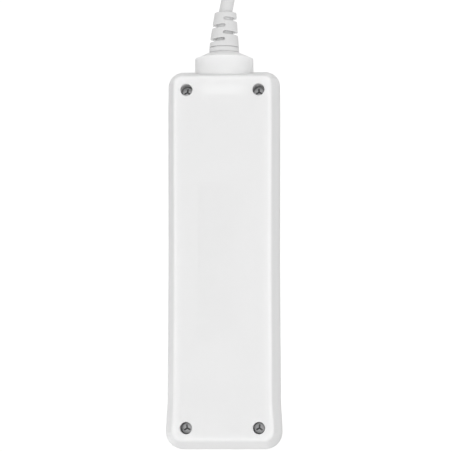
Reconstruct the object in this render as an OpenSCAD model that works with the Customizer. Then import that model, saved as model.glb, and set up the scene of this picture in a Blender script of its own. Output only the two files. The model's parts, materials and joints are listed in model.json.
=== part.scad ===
// Three-socket power strip: a two-part housing with a round neck, three earthed sockets with
// turning shutters, a lit rocker switch, a strain relief, and a mains cord tied in a hank with
// an angled earthed plug on its end.
// The back lies on z = 0, the sockets face +Z, and the cord leaves the +Y end. Millimetres.

/* [Housing] */
// Width at the parting line, half way along
body_w = 60; // [59:0.5:63]
// Length without the neck
body_l = 202; // [201:1:206]
// Height from the back to the socket face
body_h = 41; // [41:0.5:43]
// Height of the parting line over the back
parting_z = 21; // [20.5:0.5:22]
// Wall thickness
wall = 2.2; // [1.8:0.1:2.4]
// How much each side widens at the end away from the cord
far_flare = 0.8; // [0:0.1:1]
// How much each side widens at the cord end
cord_flare = 0.2; // [0:0.05:0.4]
// How much each side spreads from the middle towards the far end, and narrows towards the cord
taper = 0.3; // [0:0.05:0.4]

/* [Housing screws] */
// Distance between the screws across the width
screw_span_x = 38.4; // [37:0.2:39]
// Distance between the screws along the length
screw_span_y = 179.4; // [178:0.2:180]
// Depth of the screw heads under the back
head_depth = 11; // [9:0.5:12]

/* [Sockets] */
// Distance between neighbouring sockets
socket_pitch = 46; // [45:0.5:47]
// Place of the middle socket along the length
middle_socket_y = -24; // [-25:0.5:-23]
// Radius of a socket's well
well_r = 19.6; // [19.5:0.1:19.8]
// Depth of a socket's well
well_depth = 17.5; // [17:0.5:17.5]

/* [Switch] */
// Place of the switch along the length
switch_y = 64; // [63:0.5:65]
// Tilt of the rocker either way from level
rocker_tilt = 10; // [6:1:10]

/* [Cord] */
// Diameter of the cord
cord_d = 7.2; // [6.8:0.1:7.2]
// Turn radius of the innermost strands at the hank's folds
fold_r = 21.6; // [21:0.2:22]
// Straight length of the hank between its two folds
hank_run = 80; // [78:1:82]

/* [Hidden] */
$fn = 64;

eps = 0.01;        // overlap of pieces that are joined in one node
cut = 1;           // how far a cutting shape runs past what it cuts
run_gap = 0.05;    // radial gap of a running fit
rest_gap = 0.2;    // gap between neighbours that don't touch

// Plan of the housing
far_flare_y = -74;
cord_flare_y = 78;
flare_l = 17;
taper_y = 80;
far_corner_r = 9.4;
cord_corner_r = 8;
least_corner_r = 1.5;
corner_steps = 6;
side_ys = [-86, -80, -74, 78, 84, 88];
cord_end_lean = 1.2;    // how far the cord end stands out at the parting line
back_edge_r = 2;
back_inset = 5.9;
flank_angle = 78;
front_edge_r = 4;
front_draft = 0.5;

// Neck, turned about the cord's axis
axis_z = parting_z;
neck_r = 15.8;
neck_start_y = 96;
neck_end_y = body_l / 2 + 8.2;
shoulder_end_y = body_l / 2 + 11.8;
collar_r = 8.1;
throat_r = 6.1;
neck_wall = 2.4;

// Housing screws
head_r = 3;
head_h = 2;
shank_r = 1.5;
shank_h = 18;
counterbore_r = 3.2;
tower_r = 4.6;
tower_floor = 2;
boss_r = 3.6;
seat_z = head_depth + head_h;
tower_h = seat_z + tower_floor;
wing_w = 0.9;
wing_l = 1.9;
wing_depth = 1.3;

// Sockets
socket_ys = [for (k = [-1 : 1]) middle_socket_y + k * socket_pitch];
pin_pitch = 19;
pin_r = 2.4;
pin_l = 19;
pin_root_r = 1.9;
cup_wall = 1.4;
cup_r = well_r + cup_wall;
cup_floor = 2;
well_z = body_h - well_depth;
floor_z = well_z - cup_floor;
rim_r = cup_r + 1.8;
rim_h = 0.9;
pin_hole_r = 2.75;
clip_w = 6;
clip_slot = [7.2, 2.3];
clip_slot_y = 17.2;
rib_r = 2.2;
rib_h = 13;

// Shutters turn on a post under each socket's floor
post_r = 2;
post_h = 3.4;
shutter_h = 1.4;
shutter_z = floor_z - 0.3 - shutter_h;
shutter_reach = 13;
shutter_half_w = 3.5;
hub_r = 4.2;
spring_wire_r = 0.2;
spring_coil_r = 2.9;
spring_low_z = shutter_z - 1.6;
spring_leg = 5.5;

// Metal strips
leaf_gap = 5.2;
leaf_t = 0.7;
leaf_w = 8;
clip_low_z = 3.2;
clip_top_z = 19;
strip_z = [8, 15];
strip_end_y = 44;
earth_z = 17;
earth_t = 0.8;

// Switch
frame_in = [17.4, 24.2];
frame_out = [21.6, 28.4];
frame_low_z = 19;
frame_floor = 1.5;
bezel = [25.2, 32];
bezel_h = 1.2;
rocker_w = 16.4;
rocker_half_l = 10.8;
pivot_z = body_h - 4.5;
pivot_r = 1.5;
pivot_reach = 10;
lever_z = 24.4;
lever_tilt = 0.7 * rocker_tilt;
lever_half_l = 8.6;
lever_x = 6;
lever_w = 4;
lever_t = 0.8;
lever_rod_r = 1;
lever_hub_r = 1.8;
plunger_r = 1.2;
plunger_low_z = 28;
blade = [0.8, 4.8];
blade_low_z = 9;
blade_top_z = 22;
contact_y = 8;

// Strain relief, clamp and wires
relief_end_y = body_l / 2 + 33.7;
groove_y = body_l / 2 + 14.5;
relief_root_r = 8;
relief_tip_r = 5.8;
clamp_y = 90;
clamp_size = [26, 6, 2.5];
clamp_screw_x = 9.5;
jacket_end_y = 85.5;
wire_r = 1.2;
wire_sides = 8;
live_path = [
    [1.9, 85.8, 21.4], [2.3, 84.6, 20.4], [3, 83.2, 18.4], [3.8, 81.6, 15.8],
    [4.7, 79.6, 13.2], [5.4, 77.4, 11.6], [5.9, 75, 11], [6, 72.6, 11]
];
earth_path = [
    [0, 85.8, 18.7], [0, 84.4, 17.4], [0, 82.8, 14.6], [0, 80.6, 11], [0, 77.6, 7.8],
    [0, 73, 5.8], [0, 66, 5], [0, 59, 5.2], [0, 53, 6.6], [0, 48.8, 9.4], [0, 45.8, 13], [0, 43.2, 17.2]
];
switched_path = [
    [6, 55.4, 11], [6.2, 53.6, 11], [7.2, 51.6, 11.1], [9, 49.4, 11.3],
    [10.9, 47.4, 11.5], [12.1, 45.4, 11.5], [12.4, 43.4, 11.5]
];

// Cord: the strands lie in a lower ring of two layers and half a turn on top of it
cord_r = cord_d / 2;
cord_sides = 10;
near_fold_y = 183;
hank_y = near_fold_y + hank_run / 2;
waist_pull = 11;
waist_lift = 1.3;
ring_in_r = fold_r - cord_r;
ring_out_r = fold_r + 1.5 * cord_d;
layer_z = 2 * cord_d;
top_layer_z = layer_z + 6.3;
outline_steps = 8;
lead_path = [
    [-0.7, relief_end_y, 21], [-1.3, 138, 21], [-2.1, 142, 20.9], [-3.4, 147, 20.5], [-5.6, 152, 19.9],
    [-8.6, 157, 19.3], [-12, 162, 18.8], [-15.7, 167, 18.4], [-19.2, 172, 18.1],
    [-22.4, 177, 18], [-24.6, 181, 18], [-25.2, 183.2, 18]
];
tail_path = [
    [-28.8, 262.8, 3.8], [-28.8, 266, 3.8], [-28.8, 270, 3.8], [-28.6, 275, 3.9], [-27.8, 281, 4],
    [-26, 287, 4.2], [-23.4, 293, 4.5], [-20.2, 299, 4.8], [-16.9, 305, 5.2], [-14, 311, 5.4],
    [-12, 317, 5.5], [-11.1, 322, 5.5], [-11, 325, 5.5]
];
tie_w = 12;
tie_t = 1.2;

// Plug, lying on its back with its pins up
plug_x = -11;
plug_y = 366;
plug_grip_r = 20;
plug_grip_h = 11;
plug_nose_r = 18.6;
plug_nose_h = 17.5;
plug_cord_z = 5.5;
plug_outlet_y = plug_y - 23;
plug_relief_y = 325;

// ---- Shapes that repeat ----

// A cylinder along +Y
module rod_y(r, y0, y1, x = 0, z = 0) {
    translate([x, y0, z]) rotate([-90, 0, 0]) cylinder(r = r, h = y1 - y0);
}

// A cylinder along +X
module rod_x(r, x0, x1, y = 0, z = 0) {
    translate([x0, y, z]) rotate([0, 90, 0]) cylinder(r = r, h = x1 - x0);
}

// A turned shape about the cord's axis: the profile's points are [radius, y]
module turned_y(profile) {
    translate([0, 0, axis_z]) rotate([-90, 0, 0]) rotate_extrude() polygon(profile);
}

// A profile of [y, z] points, drawn out along X from -w / 2 to w / 2
module drawn_x(w, profile) {
    translate([-w / 2, 0, 0]) rotate([90, 0, 90]) linear_extrude(w) polygon(profile);
}

// A box from its lowest to its highest corner
module span(low, high) {
    translate(low) cube(high - low);
}

module at_screws() {
    for (x = [-1, 1], y = [-1, 1]) translate([x * screw_span_x / 2, y * screw_span_y / 2, 0]) children();
}

// ---- Plan outline of the housing, and solids lofted through it ----

function ramp(t) = let (u = min(max(t, 0), 1)) u * u * (3 - 2 * u);

function side_x(y) = body_w / 2 - taper * y / taper_y
    + far_flare * ramp((far_flare_y - y) / flare_l)
    + cord_flare * ramp((y - cord_flare_y) / flare_l);

// How far the cord end is moved out, less the further inside the plan it is
function end_lean(end, inset) = end > 0 ? cord_end_lean * (1 - inset / back_inset) : 0;

function corner(end, radius, inset, from) =
    let (
        r = max(radius - inset, least_corner_r),
        cx = side_x(end * (body_l / 2 - radius)) - inset - r,
        cy = end * (body_l / 2 - inset - r) + end_lean(end, inset)
    )
    [for (i = [0 : corner_steps]) let (a = from + 90 * i / corner_steps) [cx + r * cos(a), cy + r * sin(a)]];

function half_plan(inset) = concat(
    corner(-1, far_corner_r, inset, -90),
    [for (y = side_ys) [side_x(y) - inset, y]],
    corner(1, cord_corner_r, inset, 0)
);

function plan(inset) = let (half = half_plan(inset)) concat(
    half,
    [for (i = [len(half) - 1 : -1 : 0]) [-half[i][0], half[i][1]]]
);

// Faces of a closed solid through rings of n points each, for rings that run clockwise seen along the sweep
function skin(rings, n) = concat(
    [[for (i = [0 : n - 1]) i]],
    [for (k = [0 : rings - 2], i = [0 : n - 1]) [k * n + i, (k + 1) * n + i, (k + 1) * n + (i + 1) % n]],
    [for (k = [0 : rings - 2], i = [0 : n - 1]) [k * n + i, (k + 1) * n + (i + 1) % n, k * n + (i + 1) % n]],
    [[for (i = [n - 1 : -1 : 0]) (rings - 1) * n + i]]
);

// The plan lofted through levels of [inset, z], from low to high
module loft(levels) {
    rings = [for (level = levels) [for (p = plan(level[0])) [p[0], p[1], level[1]]]];
    polyhedron(points = [for (ring = rings) each ring], faces = skin(len(rings), len(rings[0])));
}

// The end level b, carried on past itself by a share k of the step from level a
function carried(a, b, k) = b + k * (b - a);

// A loft cut flat at z0 and z1
module cut_loft(levels, z0, z1) {
    intersection() {
        loft(levels);
        span([-body_w, -body_l, z0], [body_w, body_l, z1]);
    }
}

// ---- Tubes along a path ----

function unit(v) = v / norm(v);

function heading(path, i) = unit(path[min(i + 1, len(path) - 1)] - path[max(i - 1, 0)]);

function ring_at(path, i, r, sides, across) =
    let (t = heading(path, i), u = unit(cross(t, across)), v = cross(t, u))
    [for (k = [0 : sides - 1]) let (a = 360 * k / sides) path[i] + r * (cos(a) * u + sin(a) * v)];

// A round tube along a path that never runs along the vector across
module tube(path, r, sides, across) {
    rings = [for (i = [0 : len(path) - 1]) ring_at(path, i, r, sides, across)];
    polyhedron(points = [for (ring = rings) each ring], faces = skin(len(path), sides));
}

function mirrored_x(path) = [for (p = path) [-p[0], p[1], p[2]]];

// ---- Housing ----

module neck_solid() {
    turned_y([
        [0, neck_start_y], [neck_r, neck_start_y], [neck_r, neck_end_y],
        [collar_r, shoulder_end_y], [0, shoulder_end_y]
    ]);
}

module neck_hollow() {
    rod_y(neck_r - neck_wall, neck_start_y - cut, neck_end_y - neck_wall / 2, 0, axis_z);
    rod_y(throat_r, neck_start_y, shoulder_end_y + cut, 0, axis_z);
}

module back_walls() {
    edge = [
        for (i = [0 : 3]) let (a = flank_angle * i / 3)
        [back_inset - back_edge_r * sin(a), back_edge_r * (1 - cos(a))]
    ];
    rim = [0, parting_z];
    floor_level = [back_inset - back_edge_r * sin(flank_angle) + wall, wall];
    top_level = [wall, parting_z + cut];
    difference() {
        cut_loft(concat([carried(edge[1], edge[0], 1)], [edge[1], edge[2], edge[3]], [rim]), 0, parting_z + cut);
        cut_loft([carried(top_level, floor_level, 0.1), top_level], wall, body_h);
    }
}

module front_walls() {
    edge_z = body_h - front_edge_r;
    edge = [
        for (a = [0 : 30 : 90])
        [front_draft + front_edge_r * (1 - cos(a)), edge_z + front_edge_r * sin(a)]
    ];
    low_level = [wall, parting_z - cut];
    side_level = [wall + front_draft, edge_z];
    ceiling_level = [wall + 3, body_h - wall];
    difference() {
        cut_loft(concat([[0, parting_z]], [edge[0], edge[1], edge[2]], [carried(edge[2], edge[3], 1)]), 0, body_h);
        cut_loft([low_level, side_level, carried(side_level, ceiling_level, 0.5)], 0, body_h - wall);
    }
}

module back_cover() {
    saddle_z = axis_z - cord_r - run_gap;
    color("white") difference() {
        union() {
            back_walls();
            intersection() {
                neck_solid();
                span([-body_w, 0, 0], [body_w, body_l, parting_z]);
            }
            at_screws() cylinder(r = tower_r, h = tower_h);
            span([-clamp_screw_x, clamp_y - 3, wall - eps], [clamp_screw_x, clamp_y + 3, saddle_z]);
            for (x = [-1, 1]) translate([x * clamp_screw_x, clamp_y, wall - eps]) cylinder(r = 3.2, h = saddle_z - wall);
        }
        neck_hollow();
        at_screws() {
            translate([0, 0, -cut]) cylinder(r = counterbore_r, h = seat_z + cut);
            cylinder(r = shank_r + rest_gap, h = tower_h + cut);
        }
        for (x = [-1, 1]) translate([x * clamp_screw_x, clamp_y, 6]) cylinder(r = 1.25, h = parting_z);
    }
}

module front_shell() {
    color("white") difference() {
        union() {
            front_walls();
            intersection() {
                neck_solid();
                span([-body_w, 0, parting_z], [body_w, body_l, body_h]);
            }
            at_screws() translate([0, 0, tower_h + rest_gap]) cylinder(r = boss_r, h = body_h - wall - tower_h);
        }
        neck_hollow();
        at_screws() translate([0, 0, tower_h]) cylinder(r = shank_r + run_gap, h = shank_h);
        for (y = socket_ys) translate([0, y, body_h - wall - cut]) cylinder(r = cup_r + rest_gap, h = wall + 2 * cut);
        span(
            [-frame_out[0] / 2 - rest_gap, switch_y - frame_out[1] / 2 - rest_gap, body_h - wall - cut],
            [frame_out[0] / 2 + rest_gap, switch_y + frame_out[1] / 2 + rest_gap, body_h + cut]
        );
    }
}

// A pan-head screw with a three-winged recess, its head facing down
module housing_screw(turn) {
    translate([0, 0, head_depth]) difference() {
        union() {
            cylinder(r = head_r, h = head_h);
            cylinder(r = shank_r, h = head_h + shank_h - 1);
        }
        for (a = [0 : 120 : 240]) rotate(turn + a)
            span([0, -wing_w / 2, -cut], [wing_l, wing_w / 2, wing_depth]);
    }
}

module housing_screws() {
    color("silver") for (x = [-1, 1], y = [-1, 1])
        translate([x * screw_span_x / 2, y * screw_span_y / 2, 0]) housing_screw(90 + 12 * x - 7 * y);
}

// ---- Sockets ----

module socket_insert(y) {
    color("white") translate([0, y, 0]) {
        difference() {
            union() {
                translate([0, 0, floor_z]) cylinder(r = cup_r, h = body_h - floor_z + eps);
                translate([0, 0, body_h]) cylinder(r = rim_r, h = rim_h);
            }
            translate([0, 0, well_z]) cylinder(r = well_r, h = well_depth + rim_h + cut);
            for (x = [-1, 1]) translate([x * pin_pitch / 2, 0, floor_z - cut]) cylinder(r = pin_hole_r, h = cup_floor + 2 * cut);
            for (s = [-1, 1]) translate([0, s * (clip_slot_y + clip_slot[1] / 2), well_z - cup_floor / 2])
                cube([clip_slot[0], clip_slot[1], cup_floor + 2 * cut], center = true);
        }
        translate([0, 0, floor_z - post_h]) cylinder(r = post_r, h = post_h + eps);
        for (x = [-1, 1]) translate([x * well_r, 0, well_z - eps]) cylinder(r = rib_r, h = rib_h);
    }
}

// A two-armed plate that covers both pin holes of a socket
module shutter(y) {
    color("ivory") translate([0, y, shutter_z]) difference() {
        union() {
            cylinder(r = hub_r, h = shutter_h);
            span([-shutter_reach, -shutter_half_w, 0], [shutter_reach, shutter_half_w, shutter_h]);
        }
        translate([0, 0, -cut]) cylinder(r = post_r + run_gap, h = shutter_h + 2 * cut);
    }
}

// Two turns of wire round the shutter's post, with a straight leg at each end
module shutter_spring(y) {
    turns = 2;
    steps = 12;
    pitch = 2.1 * spring_wire_r;
    coil = [for (i = [0 : turns * steps]) let (a = 360 * i / steps)
        [spring_coil_r * cos(a), spring_coil_r * sin(a), spring_low_z + pitch * i / steps]];
    legs = [[spring_coil_r, -spring_leg, spring_low_z], [spring_coil_r, spring_leg, spring_low_z + turns * pitch]];
    color("gray") translate([0, y, 0])
        tube(concat([legs[0]], coil, [legs[1]]), spring_wire_r, 6, [0, 0, 1]);
}

// ---- Metal strips ----

// A strip along one side with a two-leaf contact under each pin hole
module busbar(side) {
    mid = pin_pitch / 2;
    inner = mid - leaf_gap / 2;
    outer = mid + leaf_gap / 2;
    color("gold") mirror([side > 0 ? 0 : 1, 0, 0]) {
        span([outer, socket_ys[0] - leaf_w / 2, strip_z[0]], [outer + leaf_t, strip_end_y, strip_z[1]]);
        for (y = socket_ys) {
            span([outer, y - leaf_w / 2, clip_low_z], [outer + leaf_t, y + leaf_w / 2, clip_top_z]);
            span([inner - leaf_t, y - leaf_w / 2, clip_low_z], [inner, y + leaf_w / 2, clip_top_z]);
            span([inner - leaf_t, y - leaf_w / 2, clip_low_z], [outer + leaf_t, y + leaf_w / 2, clip_low_z + leaf_t]);
        }
    }
}

// A strip down the middle with two bowed earth clips in each well
module earth_bar() {
    clip = [
        [18.05, earth_z], [18.65, earth_z], [18.65, 24.1], [17.2, 30], [18.9, 35.4],
        [18.4, 35.6], [16.6, 30], [18.05, 24]
    ];
    color("gold") {
        span([-clip_w / 2, socket_ys[0] - 20, earth_z], [clip_w / 2, strip_end_y, earth_z + earth_t]);
        for (y = socket_ys) translate([0, y, 0]) {
            drawn_x(clip_w, clip);
            mirror([0, 1, 0]) drawn_x(clip_w, clip);
        }
    }
}

// ---- Switch ----

module switch_frame() {
    low = frame_low_z;
    color("dimgray") translate([0, switch_y, 0]) {
        difference() {
            union() {
                span([-frame_out[0] / 2, -frame_out[1] / 2, low], [frame_out[0] / 2, frame_out[1] / 2, body_h + eps]);
                span([-bezel[0] / 2, -bezel[1] / 2, body_h], [bezel[0] / 2, bezel[1] / 2, body_h + bezel_h]);
            }
            span(
                [-frame_in[0] / 2, -frame_in[1] / 2, low + frame_floor],
                [frame_in[0] / 2, frame_in[1] / 2, body_h + bezel_h + cut]
            );
            rod_x(pivot_r + run_gap, -pivot_reach - rest_gap, pivot_reach + rest_gap, 0, pivot_z);
            for (x = [-1, 1], y = [-1, 1]) translate([x * lever_x, y * contact_y, low])
                cube([blade[0] + 0.2, blade[1] + 0.2, 4 * frame_floor], center = true);
        }
        rod_x(lever_rod_r, -frame_in[0] / 2 - eps, frame_in[0] / 2 + eps, 0, lever_z);
    }
}

// Rests with the end away from the cord pressed down
module switch_rocker() {
    top = 42.5 - pivot_z;
    profile = [
        [-rocker_half_l, top], [0, top - rocker_half_l * tan(rocker_tilt)], [rocker_half_l, top],
        [rocker_half_l, 1.6], [7, -2.5], [-7, -2.5], [-rocker_half_l, 1.6]
    ];
    color("red") translate([0, switch_y, pivot_z]) rotate([rocker_tilt, 0, 0]) {
        drawn_x(rocker_w, profile);
        rod_x(pivot_r, -pivot_reach, pivot_reach);
        for (x = [-1, 1]) translate([x * lever_x, 0, plunger_low_z - pivot_z])
            cylinder(r = plunger_r, h = pivot_z - plunger_low_z);
    }
}

module switch_levers() {
    color("gold") for (x = [-1, 1]) translate([x * lever_x, switch_y, lever_z]) rotate([-lever_tilt, 0, 0])
        difference() {
            union() {
                span([-lever_w / 2, -lever_half_l, -lever_t / 2], [lever_w / 2, lever_half_l, lever_t / 2]);
                rod_x(lever_hub_r, -lever_w / 2, lever_w / 2);
            }
            rod_x(lever_rod_r + run_gap, -lever_w, lever_w);
        }
}

module switch_terminals() {
    color("gold") for (x = [-1, 1], y = [-1, 1]) translate([x * lever_x, switch_y + y * contact_y, 0])
        span([-blade[0] / 2, -blade[1] / 2, blade_low_z], [blade[0] / 2, blade[1] / 2, blade_top_z]);
}

module neon_lamp() {
    color("orange") {
        rod_x(2, -5, 5, switch_y + 7, 29.4);
        rod_x(0.3, -8.4, 8.4, switch_y + 7, 29.4);
    }
}

// ---- Cord outlet ----

// A flange inside the neck, a collar, a ring groove and a tapered tail with staggered slots
module strain_relief() {
    slot_w = 1.6;
    slot_pitch = 3.8;
    first_slot_y = groove_y + 3.2;
    core_r = cord_r + 0.9;
    color("white") difference() {
        turned_y([
            [0, neck_end_y - 4.4], [9, neck_end_y - 4.4], [9, neck_end_y - neck_wall / 2 - run_gap],
            [throat_r - run_gap, neck_end_y - neck_wall / 2 - run_gap],
            [throat_r - run_gap, shoulder_end_y + run_gap], [collar_r, shoulder_end_y + run_gap],
            [collar_r, groove_y - 0.4], [relief_root_r - 0.6, groove_y], [relief_root_r, groove_y + 0.5],
            [relief_tip_r + 0.2, relief_end_y - 0.8], [relief_tip_r - 0.6, relief_end_y], [0, relief_end_y]
        ]);
        rod_y(cord_r + run_gap, neck_start_y, relief_end_y + cut, 0, axis_z);
        for (k = [0 : 3]) mirror([k % 2, 0, 0]) translate([0, first_slot_y + k * slot_pitch, 0]) difference() {
            span([-0.4, 0, axis_z - collar_r], [collar_r, slot_w, axis_z + collar_r]);
            rod_y(core_r, -cut, slot_w + cut, 0, axis_z);
        }
    }
}

// The cord's jacket from the clamp to the tip of the strain relief
module inner_cord() {
    color("white") rod_y(cord_r, jacket_end_y, relief_end_y, 0, axis_z);
}

module cord_clamp() {
    low = axis_z + cord_r + run_gap;
    color("lightgray") difference() {
        translate([0, clamp_y, low + clamp_size[2] / 2]) cube(clamp_size, center = true);
        for (x = [-1, 1]) translate([x * clamp_screw_x, clamp_y, low - cut]) cylinder(r = 1.3, h = clamp_size[2] + 2 * cut);
    }
}

module clamp_screws() {
    plate_z = axis_z + cord_r + run_gap + clamp_size[2];
    color("silver") for (x = [-1, 1]) translate([x * clamp_screw_x, clamp_y, 0]) difference() {
        union() {
            translate([0, 0, 8]) cylinder(r = 1.2, h = plate_z - 8 + eps);
            translate([0, 0, plate_z]) cylinder(r = 2.6, h = 1.8);
        }
        for (a = [0, 90]) rotate(a) translate([0, 0, plate_z + 1.8]) cube([3.4, 0.7, 1.6], center = true);
    }
}

module live_wire() {
    color("saddlebrown") tube(live_path, wire_r, wire_sides, [1, 0, 0]);
}

module neutral_wire() {
    color("royalblue") tube(mirrored_x(live_path), wire_r, wire_sides, [1, 0, 0]);
}

module earth_wire() {
    color("limegreen") tube(earth_path, wire_r, wire_sides, [1, 0, 0]);
}

module switched_live_wire() {
    color("saddlebrown") tube(switched_path, wire_r, wire_sides, [0, 0, 1]);
}

module switched_neutral_wire() {
    color("royalblue") tube(mirrored_x(switched_path), wire_r, wire_sides, [0, 0, 1]);
}

// ---- Cord, hank and tie ----

// Outline of the hank at one radius: two round folds joined by runs that the tie pulls in
function run_side(r) = [for (i = [-outline_steps : outline_steps]) let (y = hank_run / 2 * i / outline_steps)
    [r - waist_pull * (1 + cos(360 * y / hank_run)) / 2, y]];

function fold(r) = [for (i = [1 : outline_steps - 1]) let (a = 180 * i / outline_steps)
    [r * cos(a), hank_run / 2 + r * sin(a)]];

function hank_outline(r) = let (half = concat(run_side(r), fold(r))) concat(half, -half);

module hank_ring(r_in, r_out, h) {
    linear_extrude(h) difference() {
        polygon(hank_outline(r_out));
        polygon(hank_outline(r_in));
    }
}

module cord_lead() {
    color("white") tube(lead_path, cord_r, cord_sides, [0, 0, 1]);
}

module cord_tail() {
    color("white") tube(tail_path, cord_r, cord_sides, [0, 0, 1]);
}

module cord_hank() {
    mid_r = fold_r + cord_r;
    color("white") translate([0, hank_y, 0]) difference() {
        union() {
            hank_ring(ring_in_r, ring_out_r, layer_z);
            difference() {
                hank_ring(mid_r - cord_r, mid_r + cord_r, top_layer_z);
                span([-ring_out_r - cut, -hank_run, layer_z], [ring_out_r + cut, -hank_run / 2, layer_z + cord_d]);
                span([0, -hank_run, layer_z], [ring_out_r + cut, -tie_w / 2, layer_z + cord_d]);
            }
        }
        span([-ring_out_r, -tie_w / 2 - cut, -cut], [ring_out_r, tie_w / 2 + cut, waist_lift]);
        // the tail leaves the outermost lower strand at the far fold
        span([-ring_out_r - cut, hank_run / 2 - 0.2, -cut], [-ring_out_r + cord_d + rest_gap, hank_run, cord_d + 0.4]);
    }
}

module cord_tie() {
    x = ring_out_r - waist_pull + 0.9;
    z = top_layer_z + waist_lift + 0.1;
    color("black") translate([0, hank_y, 0]) difference() {
        span([-x - tie_t, -tie_w / 2, 0], [x + tie_t, tie_w / 2, z + tie_t]);
        span([-x, -tie_w, tie_t], [x, tie_w, z]);
    }
}

// ---- Plug ----

module at_plug() {
    translate([plug_x, plug_y, 0]) children();
}

module plug_body() {
    color("white") difference() {
        union() {
            at_plug() {
                cylinder(r = plug_grip_r, h = plug_grip_h);
                cylinder(r = plug_nose_r, h = plug_grip_h + plug_nose_h);
            }
            span([plug_x - 7, plug_outlet_y, 0], [plug_x + 7, plug_y, plug_grip_h]);
        }
        at_plug() {
            // grooves for the earth contacts and the guide ribs of a socket
            for (s = [-1, 1]) {
                span([-4, s * plug_nose_r - 2, plug_grip_h], [4, s * plug_nose_r + 2, plug_grip_h + plug_nose_h + cut]);
                translate([s * plug_nose_r, 0, plug_grip_h]) cylinder(r = rib_r + 0.6, h = plug_nose_h + cut);
            }
            // bores for the two pins
            for (s = [-1, 1]) translate([s * pin_pitch / 2, 0, plug_grip_h]) cylinder(r = pin_root_r + run_gap, h = plug_nose_h + cut);
        }
    }
}

module plug_relief() {
    color("white") translate([plug_x, 0, plug_cord_z]) rotate([-90, 0, 0]) rotate_extrude() polygon([
        [0, plug_relief_y], [4.4, plug_relief_y], [5.3, plug_outlet_y - eps], [0, plug_outlet_y - eps]
    ]);
}

module plug_pins() {
    tip = 1;
    top = plug_nose_h + pin_l;
    color("silver") at_plug() for (s = [-1, 1]) translate([s * pin_pitch / 2, 0, plug_grip_h]) rotate_extrude() polygon([
        [0, 0], [pin_root_r, 0], [pin_root_r, plug_nose_h], [pin_r, plug_nose_h],
        [pin_r, top - tip], [pin_r - tip, top], [0, top]
    ]);
}

module plug_earth_contacts() {
    strip = [7, 0.8];
    color("gold") at_plug() for (s = [-1, 1])
        span(
            [-strip[0] / 2, s > 0 ? plug_nose_r - 2 : -plug_nose_r + 2 - strip[1], plug_grip_h + 0.5],
            [strip[0] / 2, s > 0 ? plug_nose_r - 2 + strip[1] : -plug_nose_r + 2, plug_grip_h + plug_nose_h]
        );
}

// ---- Nodes ----

front_shell();
back_cover();
housing_screws();
socket_insert(socket_ys[0]);  // socket_insert_1
socket_insert(socket_ys[1]);  // socket_insert_2
socket_insert(socket_ys[2]);  // socket_insert_3
shutter(socket_ys[0]);  // shutter_1
shutter(socket_ys[1]);  // shutter_2
shutter(socket_ys[2]);  // shutter_3
shutter_spring(socket_ys[0]);  // shutter_spring_1
shutter_spring(socket_ys[1]);  // shutter_spring_2
shutter_spring(socket_ys[2]);  // shutter_spring_3
busbar(1);  // live_busbar
busbar(-1);  // neutral_busbar
earth_bar();
switch_frame();
switch_rocker();
switch_levers();
switch_terminals();
neon_lamp();
cord_clamp();
clamp_screws();
strain_relief();
inner_cord();
live_wire();
neutral_wire();
earth_wire();
switched_live_wire();
switched_neutral_wire();
cord_lead();
cord_hank();
cord_tail();
cord_tie();
plug_body();
plug_relief();
plug_pins();
plug_earth_contacts();
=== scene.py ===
"""Builds the looks of a three-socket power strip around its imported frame.

The shapes are made in millimetres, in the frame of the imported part, and turned into metres when a piece is finished.
"""

import json
import logging
import math
from collections.abc import Callable, Iterable, Sequence
from dataclasses import dataclass, field
from enum import Enum

import bmesh
import bpy
from mathutils import Matrix, Vector

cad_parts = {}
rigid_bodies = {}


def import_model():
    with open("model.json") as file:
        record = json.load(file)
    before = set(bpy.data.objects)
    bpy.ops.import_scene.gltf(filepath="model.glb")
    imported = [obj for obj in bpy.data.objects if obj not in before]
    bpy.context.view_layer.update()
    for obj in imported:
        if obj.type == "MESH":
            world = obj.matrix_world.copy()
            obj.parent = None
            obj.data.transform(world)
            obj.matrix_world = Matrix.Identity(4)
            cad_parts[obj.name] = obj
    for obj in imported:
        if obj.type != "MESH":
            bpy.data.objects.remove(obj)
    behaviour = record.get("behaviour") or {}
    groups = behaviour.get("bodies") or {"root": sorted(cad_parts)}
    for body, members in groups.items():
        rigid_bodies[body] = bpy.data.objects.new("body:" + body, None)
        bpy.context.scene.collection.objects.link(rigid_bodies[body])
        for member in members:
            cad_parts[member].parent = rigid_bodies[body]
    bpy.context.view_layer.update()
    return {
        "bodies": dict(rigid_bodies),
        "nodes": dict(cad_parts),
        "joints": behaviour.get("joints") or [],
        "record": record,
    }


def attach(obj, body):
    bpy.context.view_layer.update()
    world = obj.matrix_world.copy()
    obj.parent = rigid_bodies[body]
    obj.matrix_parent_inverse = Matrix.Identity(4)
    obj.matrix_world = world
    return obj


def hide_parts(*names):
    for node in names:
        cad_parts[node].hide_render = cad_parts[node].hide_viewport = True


log = logging.getLogger("power_strip")

MM = 0.001
HOUSING_BODY = "housing"

Point = Sequence[float]
Colour = tuple[float, float, float]

X = (1.0, 0.0, 0.0)
Y = (0.0, 1.0, 0.0)
Z = (0.0, 0.0, 1.0)


def smooth(t: float) -> float:
    """Rises gently from 0 to 1 as t goes from 0 to 1."""
    u = min(max(t, 0.0), 1.0)
    return u * u * (3 - 2 * u)


def between(a: float, b: float, t: float) -> float:
    """The value at the share t of the way from a to b."""
    return a + (b - a) * t


# ---------------------------------------------------------------- finishes


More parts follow.
